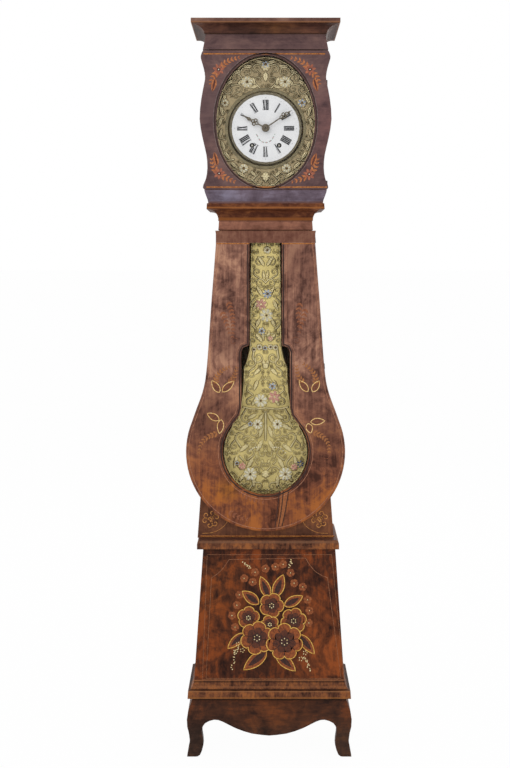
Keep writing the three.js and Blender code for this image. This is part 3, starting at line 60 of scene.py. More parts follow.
def add(tree, kind, inputs=None, **settings):
    """Adds a node with its settings and inputs. A node given as an input stands for its first output."""
    node = tree.nodes.new(kind)
    for key, value in settings.items():
        setattr(node, key, value)
    for key, value in (inputs or {}).items():
        if isinstance(value, bpy.types.Node):
            value = value.outputs[0]
        if isinstance(value, bpy.types.NodeSocket):
            tree.links.new(value, node.inputs[key])
        else:
            node.inputs[key].default_value = value
    return node


def emptied(owner):
    """The node tree of a world or a material, with nothing in it."""
    owner.use_nodes = True
    owner.node_tree.nodes.clear()
    return owner.node_tree


# Camera, floor and light
# The camera stands level at 1.62 m height, 3.5 m in front of the clock. The floor and the backdrop
# are plain white to the camera and to polished surfaces, and the light is soft from all round.
camera_place = (-0.011, -3.525, 1.6166)
photo_width, photo_height = 510, 768
focal_pixels = 1050.5
level_column, level_row = 265.9, 261.1
camera = bpy.data.objects.new("camera", bpy.data.cameras.new("camera"))
camera.location = camera_place
camera.rotation_euler = (math.pi / 2, 0, 0)
camera.data.sensor_width = 36
camera.data.lens = 36 * focal_pixels / photo_height
camera.data.shift_x = (photo_width / 2 - level_column) / photo_height
camera.data.shift_y = (level_row - photo_height / 2) / photo_height
camera.data.clip_end = 400
bpy.context.scene.collection.objects.link(camera)
bpy.context.scene.camera = camera
bpy.context.scene.view_settings.view_transform = "Standard"


def at_pixel(place, front):
    """The (x, z) point of the plane y = front that shows at a column and row of the photograph."""
    reach = (front - camera_place[1]) / focal_pixels
    return (camera_place[0] + (place[0] - level_column) * reach,
            camera_place[2] - (place[1] - level_row) * reach)


def at_pixels(places, front):
    """The same for a list of places."""
    return [at_pixel(place, front) for place in places]


def straight_rays(tree):
    """The kinds of ray, and a value that is 1 for rays from the camera or from a polished surface."""
    rays = add(tree, "ShaderNodeLightPath")
    direct, mirrored = rays.outputs["Is Camera Ray"], rays.outputs["Is Glossy Ray"]
    return rays, add(tree, "ShaderNodeMath", {0: direct, 1: mirrored}, operation="MAXIMUM")


world = bpy.data.worlds.new("studio")
bpy.context.scene.world = world
tree = emptied(world)
rays, straight = straight_rays(tree)
shown = add(tree, "ShaderNodeMath", {0: straight, 1: rays.outputs["Is Transmission Ray"]},
            operation="MAXIMUM")
level = add(tree, "ShaderNodeMapRange", {"Value": shown, "To Min": 0.78, "To Max": 1.0})
sky = add(tree, "ShaderNodeBackground", {"Color": colour("#ffffff"), "Strength": level})
add(tree, "ShaderNodeOutputWorld", {"Surface": sky})

lamp_aim = Vector((0, 0, 1.3))
for name, place, size, power in (
    ("key", (-2.4, -3.2, 3.4), 2.2, 27), ("fill", (2.8, -3.0, 2.4), 2.4, 14),
    ("back", (0.6, 3.2, 3.2), 2.4, 30),
):
    lamp = bpy.data.objects.new(name, bpy.data.lights.new(name, "AREA"))
    lamp.data.size = size
    lamp.data.energy = power
    lamp.location = place
    lamp.rotation_euler = (lamp_aim - Vector(place)).to_track_quat("-Z", "Y").to_euler()
    bpy.context.scene.collection.objects.link(lamp)

floor_reach = 180
corners = [(-1, -1), (1, -1), (1, 1), (-1, 1)]
floor_mesh = bpy.data.meshes.new("floor")
floor_mesh.from_pydata([(x * floor_reach, y * floor_reach, 0) for x, y in corners], [], [(0, 1, 2, 3)])
floor = bpy.data.objects.new("floor", floor_mesh)
bpy.context.scene.collection.objects.link(floor)
white_floor = bpy.data.materials.new("white_floor")
tree = emptied(white_floor)
rays, straight = straight_rays(tree)
share = add(tree, "ShaderNodeMath", {0: straight, 1: 0.97}, operation="MULTIPLY")
plain = add(tree, "ShaderNodeBsdfDiffuse", {"Color": colour("#f2f2f2")})
bright = add(tree, "ShaderNodeEmission", {"Color": colour("#ffffff"), "Strength": 1.0})
mixed = add(tree, "ShaderNodeMixShader", {0: share, 1: plain, 2: bright})
add(tree, "ShaderNodeOutputMaterial", {"Surface": mixed})
floor_mesh.materials.append(white_floor)


# Two cords of twisted hemp, 2.5 mm thick, one for each weight
# Each leaves its barrel on the outside and drops 1.62 m through the seat board to the weight's hook.
def new_material(name):
    """A new material, its empty tree and the object's coordinates in it."""
    material = bpy.data.materials.new(name)
    tree = emptied(material)
    return material, tree, add(tree, "ShaderNodeTexCoord").outputs["Object"]


def surface(tree, inputs):
    """Ends a material's tree with its shader."""
    shader = add(tree, "ShaderNodeBsdfPrincipled", inputs)
    add(tree, "ShaderNodeOutputMaterial", {"Surface": shader})


def tones(tree, value, *stops):
    """A ramp of colours, from pairs of place and sRGB code."""
    ramp = add(tree, "ShaderNodeValToRGB", {"Fac": value})
    elements = ramp.color_ramp.elements
    while len(elements) < len(stops):
        elements.new(0.5)
    for element, (place, code) in zip(elements, stops):
        element.position, element.color = place, colour(code)
    return ramp


def placed(name, mesh, body, smooth=False):
    """A mesh as an object that rides on a body."""
    if smooth:
        mesh.polygons.foreach_set("use_smooth", [True] * len(mesh.polygons))
    made = bpy.data.objects.new(name, mesh)
    bpy.context.scene.collection.objects.link(made)
    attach(made, body)
    return made


def piece(name, verts, faces, material, body):
    """A smooth closed piece from points and faces, with its faces turned outwards."""
    mesh = bpy.data.meshes.new(name)
    mesh.from_pydata([tuple(v) for v in verts], [], faces)
    mesh.materials.append(material)
    build = bmesh.new()
    build.from_mesh(mesh)
    bmesh.ops.recalc_face_normals(build, faces=build.faces[:])
    build.to_mesh(mesh)
    build.free()
    return placed(name, mesh, body, smooth=True)


clock_middle = -0.012
cord_offset = 0.05905
cord_depth = 0.053
cord_foot, cord_head = 0.3783, 1.9975
cord_diameter = 0.0025
strand_lay = 0.012
cord_rows, cord_round = 540, 12
hemp, tree, spot = new_material("twisted_hemp")
fibres = add(tree, "ShaderNodeTexNoise", {"Vector": spot, "Scale": 900.0, "Detail": 3.0})
bump = add(tree, "ShaderNodeBump", {"Strength": 0.4, "Distance": 0.0004, "Height": fibres})
surface(tree, {"Base Color": tones(tree, fibres, (0.35, "#6b5335"), (0.7, "#b79a6c")), "Roughness": 0.85,
               "Normal": bump})

for side, name in ((1, "going"), (-1, "strike")):
    x = clock_middle + side * cord_offset
    verts = []
    for row in range(cord_rows + 1):
        z = cord_foot + (cord_head - cord_foot) * row / cord_rows
        twist = 2 * math.pi * (z - cord_foot) / strand_lay
        for step in range(cord_round):
            turn = 2 * math.pi * step / cord_round
            radius = cord_diameter / 2 * (0.86 + 0.14 * math.cos(3 * (turn - twist)))
            verts.append((x + radius * math.cos(turn), cord_depth + radius * math.sin(turn), z))
    faces = []
    for row in range(0, cord_rows * cord_round, cord_round):
        for step in range(cord_round):
            after = (step + 1) % cord_round
            faces.append((row + step, row + after, row + cord_round + after, row + cord_round + step))
    faces.append(tuple(reversed(range(cord_round))))
    faces.append(tuple(range(cord_rows * cord_round, (cord_rows + 1) * cord_round)))
    rope = piece(name + "_rope", verts, faces, hemp, "case")
    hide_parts(name + "_cord")
    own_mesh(rope)


# Feet and aprons
# One sawn pine board on each side, with the feet cut from it, painted dark red-brown and varnished.
# The painter combed the wet brown glaze over an orange ground to look like wood.
def combed_paint(name, dark, middle, light, grain=(1.0, 1.0, 0.08), patches=7.0, worn="#8a5a3a",
                 streaks=90.0, gloss=0.5, contrast=1.0, below=None, stains=(), bands=()):
    """Brown glaze combed over a lighter ground: broad clouds, blots, streaks along the grain, worn edges.

    below is (upper height, lower height, three codes) where the tone changes down the piece. A stain is
    (x, z, radius, code, strength) and a band (lower height, upper height, code, strength): most bands are
    ruled lines of paint, and some dark ones are painted shade under a moulding or at a joint.
    """
    material, tree, spot = new_material(name)
    height = add(tree, "ShaderNodeSeparateXYZ", {0: spot}).outputs[2]
    along = add(tree, "ShaderNodeMapping", {"Vector": spot, "Scale": grain})
    total = 0.0
    for vector, scale, distortion, weight in (
        (spot, patches, 1.2, 1.1), (spot, 4.0 * patches, 0.9, 0.6),
        (along, streaks, 0.4, 0.6), (along, 5 * streaks, 0.0, 0.2),
    ):
        noise = add(tree, "ShaderNodeTexNoise", {"Vector": vector, "Scale": scale, "Detail": 5.0,
                                                 "Roughness": 0.65, "Distortion": distortion})
        total = add(tree, "ShaderNodeMath", {0: noise, 1: weight, 2: total}, operation="MULTIPLY_ADD")
    mean, reach = 1.25, 0.34 / contrast
    spread = add(tree, "ShaderNodeMapRange", {"Value": total, "From Min": mean - reach,
                                              "From Max": mean + reach})
    tone = tones(tree, spread, (0.1, dark), (0.5, middle), (0.9, light))
    layers = []
    if below:
        sunk = add(tree, "ShaderNodeMapRange", {"Value": height, "From Min": below[0], "From Max": below[1]})
        layers.append((sunk, tones(tree, spread, *zip((0.1, 0.5, 0.9), below[2]))))
    for x, z, radius, code, strength in stains:
        away = add(tree, "ShaderNodeVectorMath", {0: spot, 1: (x, 0.0, z)}, operation="SUBTRACT")
        level = add(tree, "ShaderNodeVectorMath", {0: away, 1: (1.0, 0.0, 1.0)}, operation="MULTIPLY")
        far = add(tree, "ShaderNodeVectorMath", {0: level}, operation="LENGTH")
        cover = add(tree, "ShaderNodeMapRange", {"Value": far.outputs["Value"], "From Min": radius,
                                                 "From Max": 0.0, "To Max": strength})
        mottled = add(tree, "ShaderNodeMath", {0: cover, 1: spread}, operation="MULTIPLY")
        layers.append((mottled, colour(code)))
    blur = 0.0006
    # Bands: ruled lines of paint, and painted shade where a dark band lies under a moulding or at a joint.
    for low, high, code, strength in bands:
        above = add(tree, "ShaderNodeMapRange", {"Value": height, "From Min": low - blur,
                                                 "From Max": low + blur, "To Max": strength})
        under = add(tree, "ShaderNodeMapRange", {"Value": height, "From Min": high + blur,
                                                 "From Max": high - blur})
        ruled_line_and_shade = add(tree, "ShaderNodeMath", {0: above, 1: under}, operation="MULTIPLY")
        layers.append((ruled_line_and_shade, colour(code)))
    plain = add(tree, "ShaderNodeNewGeometry")
    soft = add(tree, "ShaderNodeBevel", {"Radius": 0.0022}, samples=3)
    facing = add(tree, "ShaderNodeVectorMath", {0: soft, 1: plain.outputs["Normal"]}, operation="DOT_PRODUCT")
    edge = add(tree, "ShaderNodeMapRange", {"Value": facing.outputs["Value"], "From Min": 0.99,
                                            "From Max": 0.8})
    rubbed = add(tree, "ShaderNodeMath", {0: edge, 1: spread}, operation="MULTIPLY")
    layers.append((rubbed, colour(worn)))
    for cover, laid in layers:
        tone = add(tree, "ShaderNodeMix", {"Factor": cover, 6: tone, 7: laid}, data_type="RGBA").outputs[2]
    bump = add(tree, "ShaderNodeBump", {"Strength": 0.2, "Distance": 0.0006, "Height": total})
    surface(tree, {"Base Color": tone, "Roughness": gloss, "Specular IOR Level": 0.1, "Normal": bump})
    return material


def paint(material, *names):
    """Gives CAD nodes a better material."""
    for name in names:
        nodes[name].material_slots[0].material = material


# The dark band at the top of the aprons is painted shade under the base moulding.
apron_paint = combed_paint(
    "dark_combed_paint", "#2c1a14", "#4c2c1d", "#733d20", grain=(0.2, 0.2, 1.0), contrast=1.1, worn="#5e3a26",
    stains=((0.0, 0.15, 0.16, "#8a4a22", 0.5),), below=(0.15, 0.07, ("#251812", "#3b2921", "#553827")),
    bands=((0.178, 0.188, "#231510", 0.7),),
)
paint(apron_paint, "foot_apron_front", "foot_apron_left", "foot_apron_right")


# Base
# Wide pine boards in mottled dark red-brown paint. Fine pale lines are ruled round the front, and a bouquet
# of the usual country kind is painted on it with a brush, over the varnish.
def new_tree(name, *labels):
    """A geometry tree with named inputs and a material, its input node and a function that ends it."""
    tree = bpy.data.node_groups.new(name, "GeometryNodeTree")
    kinds = {"Geometry": "NodeSocketGeometry", "Leaf": "NodeSocketObject", "Material": "NodeSocketMaterial"}
    for label in ("Geometry", *labels, "Material"):
        tree.interface.new_socket(label, in_out="INPUT", socket_type=kinds.get(label, "NodeSocketFloat"))
    tree.interface.new_socket("Geometry", in_out="OUTPUT", socket_type="NodeSocketGeometry")
    given = add(tree, "NodeGroupInput")

    def end(geometry):
        real = add(tree, "GeometryNodeRealizeInstances", {"Geometry": geometry})
        dressed = add(tree, "GeometryNodeSetMaterial", {"Geometry": real,
                                                        "Material": given.outputs["Material"]})
        add(tree, "NodeGroupOutput", {0: dressed})

    return tree, given, end


def grow(name, tree, verts, edges, values, body, slot, smooth=False):
    """Runs a geometry tree on points and edges and keeps the result as a plain piece."""
    mesh = bpy.data.meshes.new(name)
    mesh.from_pydata(verts, edges, [])
    seed = bpy.data.objects.new(name, mesh)
    bpy.context.scene.collection.objects.link(seed)
    modifier = seed.modifiers.new("grow", "NODES")
    modifier.node_group = tree
    for item in tree.interface.items_tree:
        if item.in_out == "INPUT" and item.name in values:
            modifier[item.identifier] = values[item.name]
    seed.update_tag()
    grown = bpy.data.meshes.new_from_object(seed.evaluated_get(bpy.context.evaluated_depsgraph_get()))
    bpy.data.objects.remove(seed)
    return placed(name, grown, body, smooth)


def ribbon(tree, given, width, thickness):
    """Flat bands along the given lines, upright and facing front: their middle lines and the bands."""
    curve = add(tree, "GeometryNodeMeshToCurve", {"Mesh": given})
    level = add(tree, "GeometryNodeSetCurveNormal", {"Curve": curve, "Normal": (0, -1, 0)}, mode="FREE")
    profile = add(tree, "GeometryNodeCurvePrimitiveQuadrilateral", {"Width": thickness, "Height": width})
    return level, add(tree, "GeometryNodeCurveToMesh", {"Curve": level, "Profile Curve": profile,
                                                        "Fill Caps": True})


paint_thickness = 0.0004
ribbon_tree, given, end = new_tree("brush_line", "Width", "Thickness")
end(ribbon(ribbon_tree, given, given.outputs["Width"], given.outputs["Thickness"])[1])


def threads(paths, front):
    """Points and edges of lines on the plane y = front, each (points, closed) or (points, closed, lift)."""
    verts, edges = [], []
    for points, closed, *lift in paths:
        first = len(verts)
        verts += [(x, front - sum(lift), z) for x, z in points]
        edges += [(first + i, first + i + 1) for i in range(len(points) - 1)]
        if closed:
            edges.append((len(verts) - 1, first))
    return verts, edges


def brush_lines(name, paths, panel, material, width, above=0.0):
    """Painted lines on a panel, which is (front, body, slot)."""
    front, body, slot = panel
    values = {"Width": width, "Thickness": paint_thickness, "Material": material}
    return grow(name, ribbon_tree, *threads(paths, front - above - paint_thickness / 4), values, body, slot)


def old_paint(name, dark, light, gloss=0.5):
    """Thin oil colour laid on by brush, uneven and partly rubbed through."""
    material, tree, spot = new_material(name)
    rubbed = add(tree, "ShaderNodeTexNoise", {"Vector": spot, "Scale": 160.0, "Detail": 4.0,
                                              "Roughness": 0.7})
    bump = add(tree, "ShaderNodeBump", {"Strength": 0.2, "Distance": 0.0003, "Height": rubbed})
    surface(tree, {"Base Color": tones(tree, rubbed, (0.38, dark), (0.6, light)), "Roughness": gloss,
                   "Specular IOR Level": 0.3, "Normal": bump})
    return material


def rounded(points, steps=8, closed=False):
    """A smooth curve through points."""
    count = len(points)
    spots = [np.array(p, float) for p in points]
    made = []
    for i in range(count if closed else count - 1):
        before = spots[(i - 1) % count] if closed or i else 2 * spots[0] - spots[1]
        after = spots[(i + 2) % count] if closed or i + 2 < count else 2 * spots[-1] - spots[-2]
        here, there = spots[i], spots[(i + 1) % count]
        for step in range(steps):
            t = step / steps
            made.append(tuple(0.5 * (2 * here + (there - before) * t
                                     + (2 * before - 5 * here + 4 * there - after) * t * t
                                     + (3 * here - before - 3 * there + after) * t ** 3)))
    if not closed:
        made.append(tuple(spots[-1]))
    return made


def slabs(name, outlines, panel, material, above=0.0, thickness=paint_thickness, lifts=None):
    """Filled painted shapes on a panel, each a closed outline of (x, z) points."""
    front, body, slot = panel
    build = bmesh.new()
    for outline, lift in zip(outlines, lifts or [0.0] * len(outlines)):
        if sum(a[0] * b[1] - b[0] * a[1] for a, b in zip(outline, outline[1:] + outline[:1])) < 0:
            outline = outline[::-1]
        near = [build.verts.new((x, front - above - lift - thickness / 2, z)) for x, z in outline]
        far = [build.verts.new((x, front - above - lift + thickness / 2, z)) for x, z in outline]
        build.faces.new(near)
        build.faces.new(far[::-1])
        for i in range(len(outline)):
            j = (i + 1) % len(outline)
            build.faces.new((near[j], near[i], far[i], far[j]))
    bmesh.ops.triangulate(build, faces=build.faces[:])
    mesh = bpy.data.meshes.new(name)
    build.to_mesh(mesh)
    build.free()
    mesh.materials.append(material)
    return placed(name, mesh, body)


def leaf_outline(base, tip, width, steps=10):
    """A pointed leaf from base to tip."""
    base, tip = np.array(base), np.array(tip)
    along = tip - base
    across = np.array((-along[1], along[0])) / np.linalg.norm(along)
    made = []
    for side in (1, -1):
        for step in range(steps):
            t = step / steps if side > 0 else 1 - step / steps
            half = width / 2 * math.sin(math.pi * t ** 0.85) ** 0.8 if 0 < t < 1 else 0
            made.append(tuple(base + along * t + side * half * across))
    return made


base_front = -0.080
on_base = (base_front, "case", "red_paint")
base_paint = combed_paint(
    "mottled_red_paint", "#26130e", "#4c291b", "#8a4520", grain=(1.0, 1.0, 0.2), patches=8.0, streaks=60.0,
    contrast=1.35, worn="#7a4426",
    stains=((-0.20, 0.54, 0.16, "#94501f", 0.45), (-0.19, 0.35, 0.14, "#86441f", 0.5),
            (0.17, 0.52, 0.14, "#84421f", 0.5), (0.19, 0.34, 0.20, "#9a5026", 0.85),
            (-0.02, 0.49, 0.15, "#251510", 0.85), (-0.02, 0.34, 0.17, "#29170f", 0.7)),
)
paint(base_paint, "base_front_panel", "base_left_side", "base_right_side")
ruled_line = old_paint("ruled_pale_line", "#7a4a30", "#a87350")
left_curve_pixels = [(211.5, 577.8), (217.0, 574.0), (222.0, 569.5), (226.5, 563.5), (229.0, 559.5)]
right_curve_pixels = [(305.5, 558.0), (309.5, 564.5), (315.5, 571.5), (322.0, 575.5), (327.5, 577.6)]
foot_pixels = [(341.0, 678.4), (206.0, 678.4)]
outer_pixels = [(207.2, 554.6), (331.6, 554.6), (344.2, 679.6), (202.4, 679.6)]
outer = at_pixels(outer_pixels, base_front)
border = (rounded(at_pixels(left_curve_pixels, base_front))
          + rounded(at_pixels(right_curve_pixels, base_front)) + at_pixels(foot_pixels, base_front))
brush_lines("base_border", [(border, True), (outer, True)], on_base, ruled_line, width=0.0016)

dot_tree, given, end = new_tree("paint_dots", "Radius", "Height")
ball = add(dot_tree, "GeometryNodeMeshUVSphere", {"Segments": 10, "Rings": 6, "Radius": 1.0})
flat = add(dot_tree, "ShaderNodeCombineXYZ", {0: given.outputs["Radius"], 1: given.outputs["Height"],
                                              2: given.outputs["Radius"]})
end(add(dot_tree, "GeometryNodeInstanceOnPoints", {"Points": given, "Instance": ball, "Scale": flat}))


def dots(name, places, panel, material, radius, height=0.0006, above=0.0):
    """Small raised dots of paint on a panel."""
    front, body, slot = panel
    values = {"Radius": radius, "Height": height, "Material": material}
    verts = [(x, front - above, z) for x, z in places]
    return grow(name, dot_tree, verts, [], values, body, slot, smooth=True)


stem_width, leaflet_spread = 0.0009, 0.75
spray_tree, given, end = new_tree("leaf_spray", "Leaf", "Spacing", "Leaf Length")
level, swept = ribbon(spray_tree, given, stem_width, paint_thickness)
spaced = add(spray_tree, "GeometryNodeResampleCurve", {"Curve": level, "Length": given.outputs["Spacing"]},
             mode="LENGTH")
leaf = add(spray_tree, "GeometryNodeObjectInfo", {"Object": given.outputs["Leaf"], "As Instance": True})
tangent = add(spray_tree, "GeometryNodeInputTangent")
aligned = add(spray_tree, "FunctionNodeAlignRotationToVector", {"Vector": tangent}, axis="X", pivot_axis="Y")
gone = add(spray_tree, "GeometryNodeSplineParameter")
smaller = add(spray_tree, "ShaderNodeMapRange", {"Value": gone.outputs["Factor"], "To Min": 1.0,
                                                 "To Max": 0.55})
sized = add(spray_tree, "ShaderNodeMath", {0: smaller, 1: given.outputs["Leaf Length"]}, operation="MULTIPLY")
both = add(spray_tree, "GeometryNodeJoinGeometry", {0: swept})
for side in (1, -1):
    about = add(spray_tree, "FunctionNodeEulerToRotation", {0: (0.0, side * leaflet_spread, 0.0)})
    turned = add(spray_tree, "FunctionNodeRotateRotation", {0: aligned, 1: about}, rotation_space="LOCAL")
    put = add(spray_tree, "GeometryNodeInstanceOnPoints", {
        "Points": spaced, "Instance": leaf.outputs["Geometry"], "Rotation": turned, "Scale": sized})
    spray_tree.links.new(put.outputs[0], both.inputs[0])
end(both)

# One brushed leaflet, a unit long, lies along X with its crown forward
leaflet_rows, leaflet_half = 7, 0.22
verts = [(0.0, 0.0, 0.0)]
for row in range(1, leaflet_rows):
    t = row / leaflet_rows
    half = leaflet_half * math.sin(math.pi * t ** 0.8) ** 0.8
    verts += [(t, 0.0, -half), (t, -0.035, 0.0), (t, 0.0, half), (t, 0.02, 0.0)]
verts.append((1.0, 0.0, 0.0))
last = len(verts) - 1
faces = [(0, 1 + (k + 1) % 4, 1 + k) for k in range(4)]
for row in range(leaflet_rows - 2):
    here, there = 1 + 4 * row, 5 + 4 * row
    faces += [(here + k, here + (k + 1) % 4, there + (k + 1) % 4, there + k) for k in range(4)]
faces += [(last, last - 4 + k, last - 4 + (k + 1) % 4) for k in range(4)]
mesh = bpy.data.meshes.new("leaflet")
mesh.from_pydata(verts, [], faces)
mesh.update()
leaflet = bpy.data.objects.new("leaflet", mesh)
bpy.context.scene.collection.objects.link(leaflet)


def sprays(name, paths, panel, material, spacing, length):
    """Stems with pairs of brushed leaflets on a panel."""
    front, body, slot = panel
    values = {"Leaf": leaflet, "Spacing": spacing, "Leaf Length": length, "Material": material}
    return grow(name, spray_tree, *threads([(points, False) for points in paths], front), values, body, slot)


def from_top(middle, reach, angle):
    """The point at a distance from a middle, at an angle clockwise from straight up."""
    return (middle[0] + reach * math.sin(angle), middle[1] + reach * math.cos(angle))


def from_side(middle, reach, angle):
    """The point at a distance from a middle, at an angle from the right, turning up."""
    return (middle[0] + reach * math.cos(angle), middle[1] + reach * math.sin(angle))


def lobed(middle, radius, petals, depth=0.22, turn=0.0, steps=14):
    """The outline of an open flower with rounded petals."""
    made = []
    for step in range(petals * steps):
        angle = turn + 2 * math.pi * step / (petals * steps)
        swell = abs(math.cos(petals * (angle - turn) / 2)) ** 0.55
        made.append(from_top(middle, radius * (1 - depth + depth * swell), angle))
    return made


def petal_outlines(middle, radius, petals, turn):
    """Rounded petals that just touch, each a closed outline."""
    inner, steps = 0.2, 7
    half = radius * math.sin(math.pi / petals) * 0.92
    made = []
    for k in range(petals):
        angle = turn + 2 * math.pi * k / petals
        outline = []
        for step in range(2 * steps):
            share = math.pi * step / steps
            reach = radius * (inner + (1 - inner) * (0.5 - 0.5 * math.cos(share)))
            side = half * math.sin(share) * (0.45 + 0.65 * reach / radius)
            x, z = from_top(middle, reach, angle)
            outline.append((x + side * math.cos(angle), z - side * math.sin(angle)))
        made.append(outline)
    return made


bouquet_middle = at_pixel((271.0, 621.0), base_front)
fill_paint = old_paint("brown_orange_paint", "#6a3114", "#9a5224")
petal_shade_paint = old_paint("dark_petal_paint", "#3c1c10", "#5e2e18")
shade_paint = old_paint("dark_centre_paint", "#26130e", "#47231a")
edge_paint = old_paint("yellow_edge_paint", "#c68d34", "#eabc60")
dull_leaf_paint = old_paint("dull_brown_leaf_paint", "#6e3418", "#a05a2c")
pale_dot_paint = old_paint("cream_dot_paint", "#d8b878", "#f1e2b4")
leaf_sizes = [
    # base, tip and width of each leaf, in metres from the middle of the bouquet
    ((-0.014, -0.100), (-0.090, -0.160), 0.040), ((0.016, -0.104), (0.080, -0.164), 0.036),
    ((-0.086, -0.040), (-0.142, -0.090), 0.030), ((0.092, -0.044), (0.142, -0.108), 0.032),
    ((-0.040, 0.056), (-0.094, 0.098), 0.034), ((0.044, 0.050), (0.104, 0.082), 0.032),
    ((-0.006, 0.076), (-0.034, 0.146), 0.032), ((0.012, 0.078), (0.040, 0.152), 0.036),
]
blooms = [
    # middle, radius, petals and turn of each bloom, the hindmost first
    ((0.002, 0.052), 0.040, 5, 0.4), ((-0.074, 0.012), 0.036, 5, 0.1), ((0.074, 0.002), 0.042, 6, 0.3),
    ((-0.004, -0.010), 0.030, 5, 0.9), ((-0.046, -0.054), 0.054, 6, 0.2), ((0.044, -0.066), 0.060, 7, 0.0),
]
layer = 0.0008
bud_places = [
    (-0.112, 0.052), (-0.104, 0.086), (-0.060, 0.128), (-0.052, 0.160), (-0.018, 0.172), (0.014, 0.178),
    (0.040, 0.186), (0.064, 0.158), (0.076, 0.124), (0.104, 0.112), (0.120, 0.070), (0.126, 0.034),
    (-0.128, 0.018), (-0.118, -0.020), (0.124, -0.006), (-0.088, 0.140),
]


def from_middle(point):
    """A point of the base panel, from one measured from the bouquet's middle."""
    return (bouquet_middle[0] + point[0], bouquet_middle[1] + point[1])


def between(a, b, share):
    """A point part of the way from a to b."""
    return tuple(np.array(a) + share * (np.array(b) - np.array(a)))


leaves = [leaf_outline(from_middle(a), from_middle(b), width) for a, b, width in leaf_sizes]
ribs = [leaf_outline(from_middle(between(a, b, 0.06)), from_middle(between(a, b, 0.8)), width / 2)
        for a, b, width in leaf_sizes]
slabs("bouquet_leaves", leaves, on_base, fill_paint)
slabs("bouquet_leaf_shades", ribs, on_base, shade_paint, above=paint_thickness / 2)
whole, shades, hearts, clefts, seeds, lifts = [], [], [], [], [], []
for depth, (place, radius, count, turn) in enumerate(blooms):
    lift = layer * (depth + 1)
    middle = from_middle(place)
    lifts.append(lift)
    whole.append(lobed(middle, radius, count, turn=turn))
    shades.append(lobed(middle, 0.64 * radius, count, depth=0.34, turn=turn))
    hearts.append(lobed(middle, 0.30 * radius, count, turn=turn))
    for k in range(count):
        angle = turn + 2 * math.pi * (k + 0.5) / count
        clefts.append(([from_top(middle, reach * radius, angle) for reach in (0.30, 0.55, 0.80)], False,
                       lift + layer / 2))
    seeds += [from_top(middle, 0.17 * radius, k) for k in np.linspace(0, 2 * math.pi, 6, endpoint=False)]
thin = paint_thickness / 2
slabs("bouquet_petals", whole, on_base, fill_paint, thickness=layer, lifts=lifts)
slabs("bouquet_petal_shades", shades, on_base, petal_shade_paint, above=layer / 2, thickness=thin,
      lifts=lifts)
slabs("bouquet_hearts", hearts, on_base, shade_paint, above=layer / 2 + thin / 2, thickness=thin, lifts=lifts)
brush_lines("bouquet_clefts", clefts, on_base, shade_paint, width=0.0020, above=paint_thickness / 2)
brush_lines("bouquet_edges", [(outline, True) for outline in leaves]
            + [(outline, True, lift + layer / 2) for outline, lift in zip(whole, lifts)],
            on_base, edge_paint, width=0.0029, above=paint_thickness)
dots("bouquet_seeds", seeds, on_base, pale_dot_paint, radius=0.0020, above=layer * (len(blooms) + 1))
bud_radius, berry_ring, berry_radius = 0.0135, 0.0062, 0.0019
buds = [petal_outlines(from_middle(place), bud_radius, 5, index) for index, place in enumerate(bud_places)]
slabs("bouquet_small_flowers", sum(buds, []), on_base, dull_leaf_paint)
trails = [
    [(-0.106, -0.084), (-0.116, -0.106), (-0.124, -0.132), (-0.128, -0.158)],
    [(0.108, -0.116), (0.116, -0.130), (0.122, -0.146), (0.126, -0.164)],
    [(0.058, 0.176), (0.066, 0.190), (0.070, 0.202)],
    [(-0.066, 0.172), (-0.078, 0.182), (-0.088, 0.194)],
]
random.seed(7)
berries = [from_middle(place) for place in bud_places]
for points in trails:
    for x, z in rounded(points, 5):
        berries.append(from_middle((x + random.uniform(-0.005, 0.005), z + random.uniform(-0.003, 0.003))))
for place in ((-0.108, -0.076), (-0.094, -0.096), (-0.116, -0.100), (0.098, -0.124), (0.112, -0.104)):
    berries += [from_side(from_middle(place), berry_ring, k) for k in (0, 1.26, 2.51, 3.77, 5.03)]
dots("bouquet_berries", berries, on_base, pale_dot_paint, radius=berry_radius, above=paint_thickness)

# Base moulding and waist
# Planed pine mouldings, mitred at the front corners and nailed on, combed with short dark dashes.
# The last band darkens the top of the waist moulding next to the trunk: painted shade at that joint.
moulding_paint = combed_paint(
    "moulding_paint", "#351d14", "#6a402b", "#995d33", grain=(1.0, 1.0, 0.15), streaks=150.0, patches=10.0,
    contrast=1.4, worn="#8a5838",
    bands=((0.2405, 0.2445, "#8a5a3a", 0.6), (0.2355, 0.2392, "#22120c", 0.8),
           (0.2205, 0.2238, "#8a5a3a", 0.6), (0.2140, 0.2172, "#22120c", 0.8),
           (0.2100, 0.2132, "#9a6a45", 0.6), (0.1880, 0.1935, "#96602f", 0.5),
           (0.6950, 0.7025, "#7a5640", 0.6), (0.6745, 0.6765, "#22120c", 0.7),
           (0.7030, 0.7050, "#4a332e", 0.7)),
)
paint(moulding_paint, "base_moulding", "waist_moulding")

# Trunk
# Pine boards and a thin front frame in red-brown paint. The cornice is combed darker, with orange lines on
# its edges, and orange tendrils are painted in the two lower corners of the frame.
trunk_front = -0.060
on_trunk = (trunk_front, "case", "red_paint")
trunk_paint = combed_paint("rosewood_paint", "#3f251b", "#66402e", "#8f5a38", streaks=75.0,
                           stains=((-0.19, 0.80, 0.10, "#8a5638", 0.7), (0.165, 0.80, 0.10, "#8a5638", 0.7)))
cornice_paint = combed_paint(
    "combed_cornice_paint", "#34160d", "#5a301e", "#85502f", grain=(0.2, 1.0, 1.0), patches=12.0,
    below=(1.753, 1.748, ("#6e4535", "#926250", "#b0785e")),
    bands=((1.7885, 1.7935, "#9a5f30", 0.7), (1.7505, 1.7600, "#93582a", 0.7),
           (1.7180, 1.7202, "#24110c", 0.8), (1.7475, 1.7495, "#2c150d", 0.7)),
)
paint(trunk_paint, "trunk_left_side", "trunk_right_side", "trunk_front_frame")
paint(cornice_paint, "trunk_cornice")
